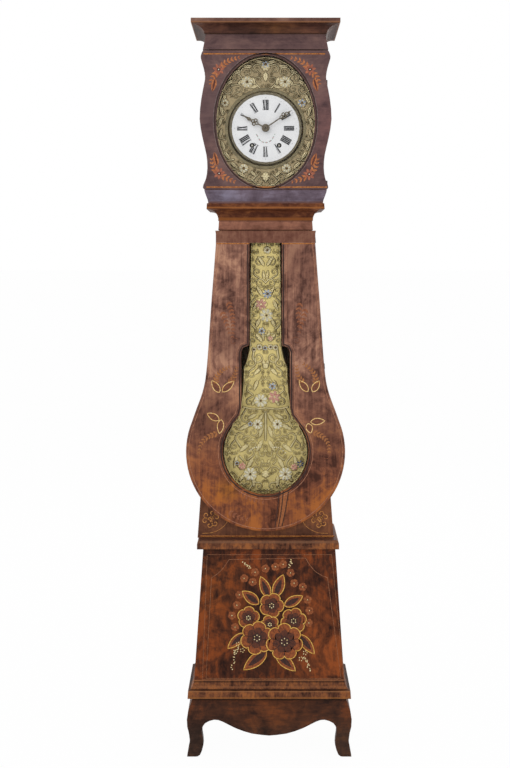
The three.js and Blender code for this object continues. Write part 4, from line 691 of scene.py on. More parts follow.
orange_line = old_paint("worn_orange_line", "#8a4a22", "#c47f3c")
tendril_paint = old_paint("orange_tendril_paint", "#a5652e", "#dc9a52")
foot_line_pixels = [(200.5, 536.2), (334.5, 536.2)]
brush_lines("trunk_foot_line", [(at_pixels(foot_line_pixels, trunk_front), False)], on_trunk, orange_line,
            width=0.0045)


def curl(middle, radius, start, turns, steps=26):
    """A line that winds inwards round a middle."""
    shares = [step / steps for step in range(steps + 1)]
    return [from_side(middle, radius * (1 - 0.8 * share), start + 2 * math.pi * turns * share)
            for share in shares]


corner_middles = [(210.8, 519.2), (319.6, 519.2)]
lobe_count, lobe_reach, lobe_radius, eye_radius = 6, 0.0195, 0.0120, 0.0085
curls = []
for middle in at_pixels(corner_middles, trunk_front):
    for k in range(lobe_count):
        angle = 2 * math.pi * k / lobe_count + 0.3
        lobe = from_side(middle, lobe_reach, angle)
        curls.append((curl(lobe, lobe_radius, angle + math.pi, 1.0 if k % 2 else -1.0), False))
    curls.append((curl(middle, eye_radius, 0.0, 1.4), False))
brush_lines("corner_tendrils", curls, on_trunk, tendril_paint, width=0.0023)
arc_pixels = [[(202.5, 533.4), (213.0, 532.4), (223.0, 527.0), (229.0, 519.0)],
              [(328.0, 533.4), (317.0, 532.4), (307.0, 527.0), (301.0, 519.0)]]
brush_lines("corner_arcs", [(rounded(at_pixels(arc, trunk_front)), False) for arc in arc_pixels], on_trunk,
            tendril_paint, width=0.0015)

# Trunk door
# One violin-shaped pine board, cut out for its glass and hung on pins, in red-brown paint made to look like
# rosewood. Thin pale lines follow its edges, and leaf pairs and sprays are brushed on in yellow and orange.
def front_loops(name, front):
    """The (x, z) outlines of a CAD node's flat front face, the longest first."""
    build = bmesh.new()
    build.from_mesh(nodes[name].data)
    bmesh.ops.remove_doubles(build, verts=build.verts[:], dist=1e-5)
    flat = [face for face in build.faces
            if abs(face.normal.y) > 0.999 and abs(face.calc_center_median().y - front) < 1e-4]
    inside = set(flat)
    onward = {}
    for face in flat:
        for loop in face.loops:
            if sum(1 for other in loop.edge.link_faces if other in inside) == 1:
                onward[loop.vert.index] = (loop.link_loop_next.vert.index, tuple(loop.vert.co))
    loops = []
    while onward:
        here = next(iter(onward))
        points = []
        while here in onward:
            here, place = onward.pop(here)
            points.append((place[0], place[2]))
        loops.append(points)
    build.free()
    reach = [sum(math.dist(a, b) for a, b in zip(loop, loop[1:] + loop[:1])) for loop in loops]
    return [loop for _, loop in sorted(zip(reach, loops), key=lambda pair: -pair[0])]


def resampled(loop, spacing):
    """Evenly spaced points round a closed outline."""
    spots = np.array(loop + loop[:1])
    gone = np.concatenate([[0], np.cumsum(np.linalg.norm(np.diff(spots, axis=0), axis=1))])
    count = max(8, int(gone[-1] / spacing))
    wanted = np.linspace(0, gone[-1], count, endpoint=False)
    return np.stack([np.interp(wanted, gone, spots[:, 0]), np.interp(wanted, gone, spots[:, 1])], 1)


def shifted(loop, distance, spacing=0.004):
    """An outline moved inwards by a distance, or outwards by a negative one."""
    spots = resampled(loop, spacing)
    area = np.sum(spots[:, 0] * np.roll(spots[:, 1], -1) - np.roll(spots[:, 0], -1) * spots[:, 1])
    along = np.roll(spots, -2, axis=0) - np.roll(spots, 2, axis=0)
    inwards = np.stack([-along[:, 1], along[:, 0]], 1) / np.linalg.norm(along, axis=1)[:, None]
    moved = spots + inwards * distance * (1 if area > 0 else -1)
    return [tuple(p) for p in moved if np.min(np.linalg.norm(spots - p, axis=1)) > abs(distance) * 0.97]


door_front = -0.082
on_door = (door_front, "trunk_door_leaf", "red_paint")
door_paint = combed_paint(
    "door_rosewood_paint", "#55372f", "#8c6252", "#b98a70", streaks=70.0, patches=7.0, contrast=1.45,
    below=(1.30, 0.86, ("#42241a", "#774530", "#a86331")), bands=((1.6780, 1.7160, "#63392b", 0.6),),
    stains=((-0.135, 0.872, 0.05, "#b8741f", 0.8), (-0.20, 0.95, 0.10, "#8a4a26", 0.5),
            (0.06, 0.80, 0.10, "#8f5230", 0.6), (0.18, 1.04, 0.12, "#4a2a20", 0.7),
            (-0.20, 1.10, 0.13, "#45281f", 0.8), (0.11, 1.62, 0.12, "#57312a", 0.7),
            (-0.12, 1.36, 0.09, "#4e2e27", 0.7)),
)
paint(door_paint, "trunk_door")
door_edge, door_opening = front_loops("trunk_door", door_front)[:2]
rail_line_height = at_pixel((level_column, 243.8), door_front)[1]


def below_rail(loop):
    """The part of a closed outline that lies below the rail's line, as one open path."""
    start = next(i for i in range(len(loop)) if loop[i - 1][1] > rail_line_height >= loop[i][1])
    return [point for point in loop[start:] + loop[:start] if point[1] <= rail_line_height], False


contour_line = old_paint("pale_contour_line", "#8e5b45", "#bb8464")
contour_line_in, contour_line_out = 0.0065, -0.0115
contours = [below_rail(shifted(door_edge, contour_line_in)),
            below_rail(shifted(door_opening, contour_line_out))]
brush_lines("door_contours", contours, on_door, contour_line, width=0.0016)
# Painted shade: a dark line hugging the edge of the opening, where the cut edge falls into shade.
opening_shade_paint = old_paint("painted_opening_shade", "#2a1711", "#3c2219")
opening_shade_out = -0.0024
brush_lines("door_opening_edge", [below_rail(shifted(door_opening, opening_shade_out))], on_door, opening_shade_paint,
            width=0.0045)
plank_pixels = [(281.0, 490.8), (288.0, 491.6), (286.6, 503.0), (284.4, 515.0), (281.4, 526.2),
                (276.8, 526.8), (279.0, 512.0)]
plank_paint = old_paint("orange_brown_paint", "#854c29", "#9f5f33")
joint_paint = old_paint("dark_joint_paint", "#301a12", "#47281c")
slabs("door_mended_strip", [at_pixels(plank_pixels, door_front)], on_door, plank_paint)
joint_pixels = [[(279.4, 490.8), (277.4, 510.0), (275.0, 526.8)],
                [(283.4, 491.4), (281.6, 508.0), (278.6, 526.4)],
                [(288.4, 491.8), (285.6, 510.0), (282.0, 526.2)]]
brush_lines("door_joints", [(at_pixels(path, door_front), False) for path in joint_pixels], on_door,
            joint_paint, width=0.0030, above=paint_thickness)
rail_line_pixels = [[(216.5, 243.6), (249.5, 243.6)], [(282.0, 243.6), (314.5, 243.6)]]
brush_lines("door_rail_lines", [(at_pixels(line, door_front), False) for line in rail_line_pixels], on_door,
            orange_line, width=0.0035)
leaf_pair_pixels = [
    ((219.6, 392.4), (211.9, 380.6)), ((222.2, 391.8), (234.0, 381.2)),
    ((308.0, 391.4), (299.3, 380.6)), ((312.4, 391.8), (319.3, 380.8)),
    ((219.2, 420.0), (207.2, 413.4)), ((221.2, 419.6), (219.6, 433.6)),
    ((310.6, 422.0), (324.8, 420.8)), ((308.0, 423.6), (310.8, 433.0)),
]
leaf_width = 0.021
leaf_ground_paint = old_paint("leaf_ground_paint", "#5f3524", "#7e4a32")
pale_edge_paint = old_paint("pale_leaf_edge_paint", "#d79f55", "#f8d493")
pairs = [leaf_outline(*at_pixels(ends, door_front), leaf_width) for ends in leaf_pair_pixels]
slabs("door_leaf_fills", pairs, on_door, leaf_ground_paint)
brush_lines("door_leaf_edges", [(outline, True) for outline in pairs], on_door, pale_edge_paint, width=0.0027,
            above=paint_thickness)
spray_pixels = [
    [(215.5, 384.0), (217.0, 376.5), (222.0, 370.5), (228.5, 367.5)],
    [(229.0, 383.0), (234.0, 377.0), (236.5, 368.5)],
    [(316.0, 384.0), (315.5, 377.5), (311.5, 370.0), (304.5, 364.5)],
    [(303.0, 382.5), (298.5, 376.0), (296.5, 367.0)],
    [(217.0, 433.5), (208.0, 437.0), (201.5, 443.5), (199.0, 452.0)],
    [(313.5, 432.5), (321.5, 436.0), (327.5, 442.5), (329.0, 451.0)],
]
spray_paint = old_paint("dull_orange_paint", "#83502f", "#b0723e")
sprays("door_sprays", [rounded(at_pixels(path, door_front)) for path in spray_pixels], on_door, spray_paint,
       spacing=0.0105, length=0.0155)
faint_paint = old_paint("faint_brown_paint", "#743f2a", "#9c5f3c")
faint_pixels = [
    [(228.0, 302.0), (231.5, 312.0), (233.0, 324.0), (232.5, 336.0)],
    [(222.0, 312.0), (226.0, 322.0), (229.0, 332.0)],
    [(300.0, 303.0), (298.5, 313.0), (299.0, 325.0)], [(305.5, 309.0), (303.0, 320.0), (299.5, 331.0)],
    [(240.0, 490.0), (246.0, 496.0), (254.0, 500.0), (262.0, 502.0)],
    [(229.0, 512.0), (237.0, 516.5), (246.0, 519.0)],
]
sprays("door_faint_sprays", [rounded(at_pixels(path, door_front)) for path in faint_pixels], on_door,
       faint_paint, spacing=0.0125, length=0.0160)
faint_curl_pixels = [
    # place in the photograph; radius in metres, start and turns
    ((203.5, 462.0), 0.020, 1.2, 0.9), ((208.5, 474.0), 0.012, 4.0, -0.9), ((234.0, 342.0), 0.015, 0.5, 0.9),
    ((325.5, 456.0), 0.018, 2.0, -0.9), ((322.0, 470.0), 0.013, 5.0, 0.9), ((296.5, 341.0), 0.015, 2.6, -0.9),
]
faint_curls = [(curl(at_pixel(place, door_front), radius, start, turns), False)
               for place, radius, start, turns in faint_curl_pixels]
brush_lines("door_faint_curls", faint_curls, on_door, faint_paint, width=0.0013)

# Head
# A pine box with a cornice and a U-shaped band below, in dark plum-brown paint; the band has turned bluish.
# Orange lines pick out the edges of the boards.
head_paint = combed_paint(
    "plum_brown_paint", "#4a3739", "#644c4b", "#7d605a", grain=(0.2, 1.0, 1.0), contrast=0.9, worn="#77574b",
    stains=((0.19, 2.05, 0.16, "#8a5a58", 0.6), (-0.2, 2.12, 0.14, "#544449", 0.6)),
)
band_paint = combed_paint(
    "plum_blue_paint", "#594b55", "#71626e", "#8c8090", grain=(0.2, 1.0, 1.0), worn="#7a6064",
    stains=((-0.16, 1.83, 0.07, "#8d8aa0", 0.7),),
    bands=((1.8070, 1.8115, "#8a5c44", 0.6), (1.8490, 1.8530, "#94603f", 0.6)),
)
# The dark band at the foot of the cove is painted shade under the cornice, over its joint with the frieze.
head_cornice_paint = combed_paint(
    "head_cornice_paint", "#33201a", "#50332a", "#724a38", grain=(0.12, 1.0, 1.0), worn="#84593f",
    stains=((0.02, 2.37, 0.10, "#8a5a2c", 0.5),), bands=((2.3575, 2.3605, "#1f110d", 0.8),),
)
top_paint = combed_paint("top_board_paint", "#50362d", "#6f4f45", "#8c6a5a", grain=(0.12, 1.0, 1.0),
                         worn="#96684a", bands=((2.3850, 2.3895, "#8f6040", 0.7),))
paint(top_paint, "head_top_board")
paint(head_cornice_paint, "head_cornice")
paint(head_paint, "head_frieze", "head_left_side", "head_right_side")
paint(band_paint, "head_lower_band")

# Head door
# One shaped pine board with an oval cut out for its glass. A pale line runs round the oval, orange lines run
# along the top and bottom, and a flower with leaves is brushed into each corner in orange.
head_door_front = -0.105
on_head = (head_door_front, "head_door", "head_paint")
paint(head_paint, "head_door_frame")
head_oval = front_loops("head_door_frame", head_door_front)[1]
bluish_line = old_paint("bluish_pale_line", "#5c4c50", "#8a7470")
oval_spacing, oval_line_out = 0.008, -0.006
brush_lines("oval_line", [(shifted(head_oval, oval_line_out, oval_spacing), True)], on_head, bluish_line,
            width=0.0018)
# Painted shade: the same dark line round the edge of the oval.
brush_lines("oval_edge_line", [(shifted(head_oval, opening_shade_out, oval_spacing), True)], on_head,
            opening_shade_paint, width=0.0042)
head_line_pixels = [[(203.4, 53.8), (325.2, 53.8)], [(206.2, 187.1), (327.0, 187.1)]]
brush_lines("head_door_lines", [(at_pixels(line, head_door_front), False) for line in head_line_pixels],
            on_head, orange_line, width=0.0042)
corner_flower_pixels = [(218.6, 69.5), (310.0, 69.5), (219.1, 173.4), (309.2, 174.2)]
corner_flowers = at_pixels(corner_flower_pixels, head_door_front)
petal_count, petal_base, petal_tip, petal_width = 7, 0.005, 0.0200, 0.0088
orange_petal = old_paint("orange_red_paint", "#94522f", "#c07a48")
rose_petal = old_paint("dull_red_petal_paint", "#8a4c38", "#b46d50")
dark_petal = old_paint("brown_red_paint", "#45221c", "#663429")
white_paint = old_paint("white_oil_paint", "#cfc9b6", "#f2efe2")
petal_angles = [2 * math.pi * k / petal_count + 0.2 for k in range(petal_count)]
petals = [leaf_outline(from_side(middle, petal_base, angle), from_side(middle, petal_tip, angle),
                       petal_width, steps=7) for middle in corner_flowers for angle in petal_angles]
hearts = [lobed(middle, 0.006, 6, depth=0.1, steps=3) for middle in corner_flowers]
slabs("corner_petals", petals, on_head, rose_petal)
slabs("corner_hearts", hearts, on_head, dark_petal, thickness=2 * paint_thickness)
dots("corner_dots", corner_flowers, on_head, white_paint, radius=0.0022, height=0.0012)
big_leaf_pixels = [((215.3, 78.5), (212.3, 91.5)), ((313.8, 78.5), (317.6, 91.5)),
                   ((217.3, 166.0), (214.2, 152.0)), ((311.6, 166.0), (316.4, 153.0))]
big_leaves = [at_pixels(ends, head_door_front) for ends in big_leaf_pixels]
slabs("corner_big_leaves", [leaf_outline(*ends, 0.017) for ends in big_leaves], on_head, orange_petal)
slabs("corner_leaf_shades", [leaf_outline(*ends, 0.006) for ends in big_leaves], on_head, dark_petal,
      above=paint_thickness / 2)
head_spray_pixels = [
    [(221.5, 66.5), (226.0, 62.5), (231.5, 59.8), (238.0, 57.8)],
    [(216.5, 73.0), (212.8, 77.5), (211.0, 83.0)],
    [(307.5, 66.5), (303.0, 62.5), (298.0, 60.0), (292.5, 58.2)],
    [(312.8, 73.0), (316.8, 77.5), (319.0, 83.0)],
    [(222.0, 176.0), (228.0, 178.8), (233.5, 181.3)], [(216.0, 171.0), (213.0, 166.0), (211.8, 160.0)],
    [(306.0, 177.0), (300.0, 179.3), (293.0, 181.4)], [(312.4, 171.0), (315.6, 166.0), (317.4, 160.0)],
]
sprays("corner_sprays", [rounded(at_pixels(path, head_door_front)) for path in head_spray_pixels], on_head,
       orange_petal, spacing=0.0115, length=0.0165)
bpy.data.objects.remove(leaflet)

# Back board and seat board
# Rough pine that never was painted, gone grey-brown with age.
raw_pine = combed_paint("aged_pine", "#6b4e35", "#8f7050", "#ab8a63", streaks=60.0, gloss=0.8, worn="#a88a66")
paint(raw_pine, "case_back_board", "movement_seat_board")

# Glass
# Thin old window glass, held in a rebate behind each opening with putty.
old_glass, tree, spot = new_material("old_glass")
waves = add(tree, "ShaderNodeTexNoise", {"Vector": spot, "Scale": 9.0, "Detail": 1.0})
bump = add(tree, "ShaderNodeBump", {"Strength": 0.05, "Distance": 0.002, "Height": waves})
surface(tree, {"Base Color": colour("#5c625e"), "Roughness": 0.03, "IOR": 1.5, "Alpha": 0.03,
               "Specular IOR Level": 0.25, "Normal": bump})
paint(old_glass, "head_door_glass", "trunk_door_glass")


# Iron and brass of the movement
# A cage of forged and filed iron, dark with oil, wheels cut from cast brass, a bell of cast bronze and
# weights of rough cast iron.
def worn_metal(name, dark, light, rough, scale, depth=0.0003, bright_end=None):
    """A metal whose colour and gloss vary with handling; it is polished in front of y = bright_end."""
    material, tree, spot = new_material(name)
    skin = add(tree, "ShaderNodeTexNoise", {"Vector": spot, "Scale": scale, "Detail": 6.0, "Roughness": 0.65})
    matt = add(tree, "ShaderNodeMapRange", {"Value": skin, "To Min": rough + 0.12, "To Max": rough - 0.08})
    tone = tones(tree, skin, (0.3, dark), (0.7, light))
    if bright_end:
        apart = add(tree, "ShaderNodeSeparateXYZ", {0: spot})
        ahead = add(tree, "ShaderNodeMath", {0: apart.outputs[1], 1: bright_end}, operation="LESS_THAN")
        tone = add(tree, "ShaderNodeMix", {"Factor": ahead, 6: tone, 7: colour("#b9b6ad")},
                   data_type="RGBA").outputs[2]
    bump = add(tree, "ShaderNodeBump", {"Strength": 0.3, "Distance": depth, "Height": skin})
    surface(tree, {"Base Color": tone, "Metallic": 1.0, "Roughness": matt, "Normal": bump})
    return material


iron_look = ("#2b2825", "#4b4642", 0.5, 120.0)
paint(worn_metal("oiled_iron", *iron_look), "head_hinge_upper", "head_hinge_lower", "head_door_knuckle_upper",
      "head_door_knuckle_lower", "trunk_hinge_upper", "trunk_hinge_lower", "trunk_door_knuckle_upper",
      "trunk_door_knuckle_lower", "movement_cage", "hammer", "anchor_and_crutch", "pendulum_rod")
paint(worn_metal("barrel_iron", *iron_look, bright_end=-0.06), "going_barrel", "strike_barrel")
paint(worn_metal("spring_steel", "#4b5260", "#7d8590", rough=0.3, scale=200.0), "suspension_spring")
paint(worn_metal("rusty_cast_iron", "#33251e", "#5a4336", rough=0.7, scale=60.0, depth=0.001), "going_weight",
      "strike_weight")
paint(worn_metal("wheel_brass", "#8a7036", "#c9ab5e", rough=0.32, scale=90.0), "going_great_wheel",
      "going_second_wheel", "going_third_wheel", "escape_wheel", "strike_great_wheel", "strike_second_wheel",
      "strike_fly", "cannon_pinion", "minute_wheel", "hour_wheel")
paint(worn_metal("bell_bronze", "#7a6844", "#b09a68", rough=0.3, scale=40.0), "bell")


# Pendulum
# A front of thin sheet brass, hammered into steel dies and lacquered: scrolls, leaves and flowers stand up to
# 4 mm from it, and some flowers are painted. It covers the iron rod and its bob.
def nearest(spots, path):
    """How far each point is from a line, and how far along the line that is, from 0 to 1."""
    path = np.array(path)
    steps = np.linalg.norm(np.diff(path, axis=0), axis=1)
    best, along, gone = np.full(len(spots), 1e9), np.zeros(len(spots)), 0.0
    for start, end, length in zip(path[:-1], path[1:], steps):
        share = np.clip(((spots - start) @ (end - start)) / length ** 2, 0, 1)
        away = np.linalg.norm(spots - start - share[:, None] * (end - start), axis=1)
        closer = away < best
        best[closer] = away[closer]
        along[closer] = (gone + share[closer] * length) / steps.sum()
        gone += length
    return best, along


def ridge(spots, path, width, height, taper=0.6):
    """A rounded rib along a path, thinner towards its end: its height and the distance from its edge."""
    away, along = nearest(spots, path)
    half = width / 2 * (1 - taper * along)
    return height * np.sqrt(np.clip(1 - (away / half) ** 2, 0, 1)) * (1 - 0.5 * taper * along), away - half


def frond(spots, base, tip, width, height):
    """A leaf with a toothed edge, a groove down its middle and ribs to its teeth."""
    lobes, groove_half = 4, 0.0011
    base, tip = np.array(base), np.array(tip)
    length = np.linalg.norm(tip - base)
    run = (tip - base) / length
    t = ((spots - base) @ run) / length
    s = (spots - base) @ np.array((-run[1], run[0]))
    inside = np.clip(np.sin(np.pi * np.clip(t, 0, 1) ** 0.8), 0, 1) ** 0.7
    teeth = 0.74 + 0.26 * np.abs(np.cos(np.pi * lobes * t))
    half = np.maximum(width / 2 * inside * teeth, 1e-6)
    q = np.abs(s) / half
    body = height * np.clip(1 - q ** 2, 0, 1) ** 0.6
    ribs = 0.5 + 0.5 * np.cos(2 * np.pi * lobes * t + 6 * q)
    groove = 0.55 * np.exp(-(s / groove_half) ** 2) + 0.18 * ribs
    within = (t > 0) & (t < 1)
    return np.where(within & (q < 1), body * (1 - groove), 0), np.where(within, np.abs(s) - half, 1)


def rosette(spots, middle, radius, petals, height, turn=0.0):
    """An open flower with cupped petals and a round heart."""
    rel = spots - np.array(middle)
    away = np.linalg.norm(rel, axis=1)
    angle = np.arctan2(rel[:, 1], rel[:, 0]) - turn
    edge = radius * (0.72 + 0.28 * np.abs(np.cos(petals * angle / 2)) ** 0.6)
    cup = np.clip(1 - (away / edge) ** 4, 0, 1) * (0.55 + 0.45 * np.abs(np.cos(petals * angle / 2)) ** 0.5)
    heart = np.sqrt(np.clip(1 - (away / (0.27 * radius)) ** 2, 0, 1))
    flower = np.where(away < edge, cup * (0.5 + 0.5 * away / radius), 0)
    return height * np.maximum(flower, heart), away - edge


def embossed_sheet(name, grid, panel, back, material, closed, above=0.0):
    """A sheet from a grid of (x, z) rows: the relief in front, a flat back, and edges between them."""
    front, body, slot = panel
    rows, columns = grid.shape[:2]
    count = rows * columns
    spots = grid.reshape(-1, 2)
    faces = []
    for row in range(0, count - columns, columns):
        for column in range(columns if closed else columns - 1):
            a, b = row + column, row + (column + 1) % columns
            faces.append((a, b, b + columns, a + columns))
    low, high = list(range(columns)), list(range(count - columns, count))
    if closed:
        rims = [low, high]
    else:
        rims = [low + [row * columns - 1 for row in range(2, rows)] + high[::-1]
                + [row * columns for row in range(rows - 2, 0, -1)]]
    hidden, last = [], count
    for rim in rims:
        hidden.append(list(range(last, last + len(rim))))
        last += len(rim)
        for i in range(len(rim)):
            j = (i + 1) % len(rim)
            faces.append((rim[i], rim[j], hidden[-1][j], hidden[-1][i]))
    if closed:
        faces += [(hidden[0][i], hidden[0][(i + 1) % columns], hidden[1][(i + 1) % columns], hidden[1][i])
                  for i in range(columns)]
    else:
        faces.append(tuple(hidden[0]))
    ring = sum(rims, [])
    ahead = np.stack([spots[:, 0], front - above - raised, spots[:, 1]], 1)
    behind = np.stack([spots[ring, 0], np.full(len(ring), back), spots[ring, 1]], 1)
    made = piece(name, np.concatenate([ahead, behind]), faces, material, body)
    # relief is the height; groove carries the dark line of painted shade and brown lacquer round the forms.
    for label, values in (("relief", raised / raised.max()), ("groove", shade_and_patina)):
        own = made.data.attributes.new(label, "FLOAT", "POINT")
        own.data.foreach_set("value", np.concatenate([values, np.zeros(len(ring))]))
    return made


def die_brass(name, ground, middle, top, line, dull_from=0.0, dull_to=-1.0):
    """Old lacquered sheet brass: brown lacquer in the hollows and rubbed high spots, with painted highlight
    on the tops and painted shade round the forms.

    It grows duller between two heights.
    """
    material, tree, spot = new_material(name)
    high = add(tree, "ShaderNodeAttribute", attribute_name="relief")
    low = add(tree, "ShaderNodeAttribute", attribute_name="groove")
    skin = add(tree, "ShaderNodeTexNoise", {"Vector": spot, "Scale": 24.0, "Detail": 6.0, "Roughness": 0.7})
    stipple = add(tree, "ShaderNodeTexVoronoi", {"Vector": spot, "Scale": 420.0})
    # Painted highlight: the brass grows lighter with the height of the relief.
    tone = tones(tree, high.outputs["Fac"], (0.0, ground), (0.3, middle), (0.85, top))
    tarnish = add(tree, "ShaderNodeMapRange", {"Value": skin, "From Min": 0.35, "From Max": 0.65,
                                               "To Min": 0.3, "To Max": 0.0})
    apart = add(tree, "ShaderNodeSeparateXYZ", {0: spot})
    sunk = add(tree, "ShaderNodeMapRange", {"Value": apart.outputs[2], "From Min": dull_from,
                                            "From Max": dull_to, "To Max": 0.22})
    rubbed = add(tree, "ShaderNodeMapRange", {"Value": skin, "From Min": 0.3, "From Max": 0.7,
                                              "To Min": 0.95, "To Max": 0.5})
    # The dark line round the forms: painted shade and brown lacquer, rubbed unevenly.
    depth = add(tree, "ShaderNodeMath", {0: low.outputs["Fac"], 1: rubbed}, operation="MULTIPLY")
    for cover in (tarnish, sunk, depth):
        mixed = add(tree, "ShaderNodeMix", {"Factor": cover, 6: tone, 7: colour(line)}, data_type="RGBA")
        tone = mixed.outputs[2]
    bump = add(tree, "ShaderNodeBump", {"Strength": 0.2, "Distance": 0.0006, "Height": stipple})
    surface(tree, {"Base Color": tone, "Metallic": 0.9, "Roughness": 0.45, "Normal": bump})
    return material


# The top colour is painted highlight on the tops of the relief; the last colour is the dark line of painted
# shade and brown lacquer.
pendulum_brass = die_brass("lacquered_pendulum_brass", "#ecd890", "#efdc98", "#f8ebba", "#46340f",
                           dull_from=1.24, dull_to=1.12)
pendulum_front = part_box("pendulum_front")[0][1]
pendulum_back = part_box("pendulum_front")[1][1]
on_pendulum = (pendulum_front, "pendulum", "embossed_brass")
lyre = np.array(front_loops("pendulum_front", pendulum_front)[0])
lyre_foot, lyre_top = lyre[:, 1].min(), lyre[:, 1].max()
rows, columns = 600, 150
heights = np.clip(np.linspace(lyre_foot, lyre_top, rows), lyre_foot + 0.00015, lyre_top - 0.0001)
ends = np.concatenate([lyre, lyre[:1]])
widths = np.zeros(rows)
for (x0, z0), (x1, z1) in zip(ends[:-1], ends[1:]):
    if abs(z1 - z0) < 1e-9:
        continue
    share = (heights - z0) / (z1 - z0)
    crossed = (share >= 0) & (share <= 1)
    widths = np.maximum(widths, np.where(crossed, np.abs(x0 + share * (x1 - x0) - clock_middle), 0))
spread = np.linspace(-1, 1, columns)
grid = np.stack([clock_middle + widths[:, None] * spread[None, :],
                 np.repeat(heights[:, None], columns, axis=1)], 2)
spots = grid.reshape(-1, 2).copy()
spots[:, 0] = np.abs(spots[:, 0] - clock_middle)
raised, shade_and_patina = np.zeros(len(spots)), np.zeros(len(spots))


def raise_up(form, where, middle, reach, *details):
    """Lays one more form over the relief near a place, with a dark line of painted shade and brown lacquer
    round its foot.
    """
    near = np.nonzero(np.max(np.abs(where - np.array(middle)), axis=1) < reach)[0]
    if len(near):
        height, outside = form(where[near], *details)
        raised[near] = np.maximum(raised[near], height)
        kept = shade_and_patina[near] * np.where(outside < -0.0006, 0.25, 1.0)
        shade_and_patina[near] = np.maximum(kept, np.exp(-((outside - 0.0005) / 0.0012) ** 2))


def raise_scroll(where, middle, radius, start, turns, tail, width, height):
    """A rib that winds in towards a middle, with a straight tail that leads into it."""
    path = np.array(curl(middle, radius, start, turns, 30))
    lead = (path[0] - path[1]) / np.linalg.norm(path[0] - path[1])
    path = np.concatenate([[path[0] + lead * tail], path])
    raise_up(ridge, where, middle, radius + tail + width, path, width, height)


def raise_frond(where, base, tip, width, height):
    """One leaf of the relief."""
    middle = ((base[0] + tip[0]) / 2, (base[1] + tip[1]) / 2)
    raise_up(frond, where, middle, math.dist(base, tip) / 2 + width, base, tip, width, height)


def fill_scrolls(where, places, seed, smallest=0.0080, largest=0.0115):
    """Small scrolls and leaves wherever the ground is still bare."""
    jitter, bare, small_rise = 0.003, 0.0004, 0.0024
    random.seed(seed)
    for x, z in places:
        place = (x + random.uniform(-jitter, jitter), z + random.uniform(-jitter, jitter))
        radius, start = random.uniform(smallest, largest), random.uniform(0, 6.28)
        turns = random.choice((-1.1, 1.1))
        near = np.max(np.abs(where - np.array(place)), axis=1) < radius
        if near.any() and raised[near].max() < bare:
            tail = random.uniform(0.7, 1.1) * radius
            raise_scroll(where, place, radius, start, turns, tail, 0.42 * radius, small_rise)
            base, tip = [from_side(place, reach * radius, start + 2.2) for reach in (0.8, 1.9)]
            raise_frond(where, base, tip, 0.9 * radius, small_rise)


def finish_rim(from_edge, beads, rise, bead, groove, flat):
    """Puts a beaded rim round the relief, a dark line inside it of painted shade and brown lacquer, and a
    flat edge outside it.

    bead and groove are (distance from the edge, half width), and flat is the width of the flat edge.
    """
    rim = rise * np.exp(-((from_edge - bead[0]) / bead[1]) ** 2) * beads
    raised[:] = np.where(from_edge < flat, 0, np.maximum(raised, rim))
    shade_and_patina[:] = np.maximum(shade_and_patina, 0.8 * np.exp(-((from_edge - groove[0]) / groove[1]) ** 2))


def row_height(row):
    """The height of a row of the photograph on the pendulum."""
    return at_pixel((level_column, row), pendulum_front)[1]


scroll_rise, frond_rise, flower_rise, flat_flower_rise = 0.0028, 0.0032, 0.0026, 0.0008
pendulum_scrolls = [
    # row, distance from the middle, radius, start, turns, tail and width of each scroll
    (262.0, 0.020, 0.014, 1.6, -1.1, 0.012, 0.0045), (272.0, 0.028, 0.013, -1.2, 1.1, 0.014, 0.0045),
    (283.0, 0.019, 0.015, 2.6, -1.2, 0.016, 0.0050), (290.0, 0.038, 0.011, -0.6, 1.0, 0.012, 0.0040),
    (305.0, 0.040, 0.012, 1.0, -1.1, 0.016, 0.0045), (322.0, 0.038, 0.013, -1.0, 1.1, 0.018, 0.0045),
    (337.0, 0.022, 0.013, 2.2, -1.1, 0.014, 0.0045), (341.0, 0.042, 0.010, -0.4, 1.0, 0.012, 0.0040),
    (357.5, 0.024, 0.019, 0.4, -1.3, 0.018, 0.0070), (363.0, 0.047, 0.014, 2.8, 1.1, 0.012, 0.0055),
    (374.0, 0.044, 0.014, 1.2, -1.0, 0.014, 0.0045), (388.0, 0.050, 0.014, -1.2, 1.0, 0.016, 0.0045),
    (402.0, 0.052, 0.013, 1.3, -1.0, 0.014, 0.0045),
    (418.0, 0.064, 0.017, 0.8, -1.2, 0.020, 0.0050), (432.0, 0.040, 0.016, 2.4, 1.1, 0.020, 0.0050),
    (437.0, 0.082, 0.019, -0.8, 1.2, 0.022, 0.0055), (446.0, 0.104, 0.012, 1.0, -1.0, 0.012, 0.0045),
    (452.0, 0.052, 0.016, -2.0, -1.1, 0.020, 0.0050), (464.0, 0.084, 0.016, 2.2, 1.2, 0.018, 0.0050),
    (470.0, 0.030, 0.013, 0.6, 1.1, 0.016, 0.0045), (482.0, 0.056, 0.015, -2.4, -1.1, 0.018, 0.0050),
    (486.0, 0.022, 0.012, 1.4, 1.0, 0.012, 0.0045),
]
for row, across, *sizes in pendulum_scrolls:
    raise_scroll(spots, (across, row_height(row)), *sizes, scroll_rise)
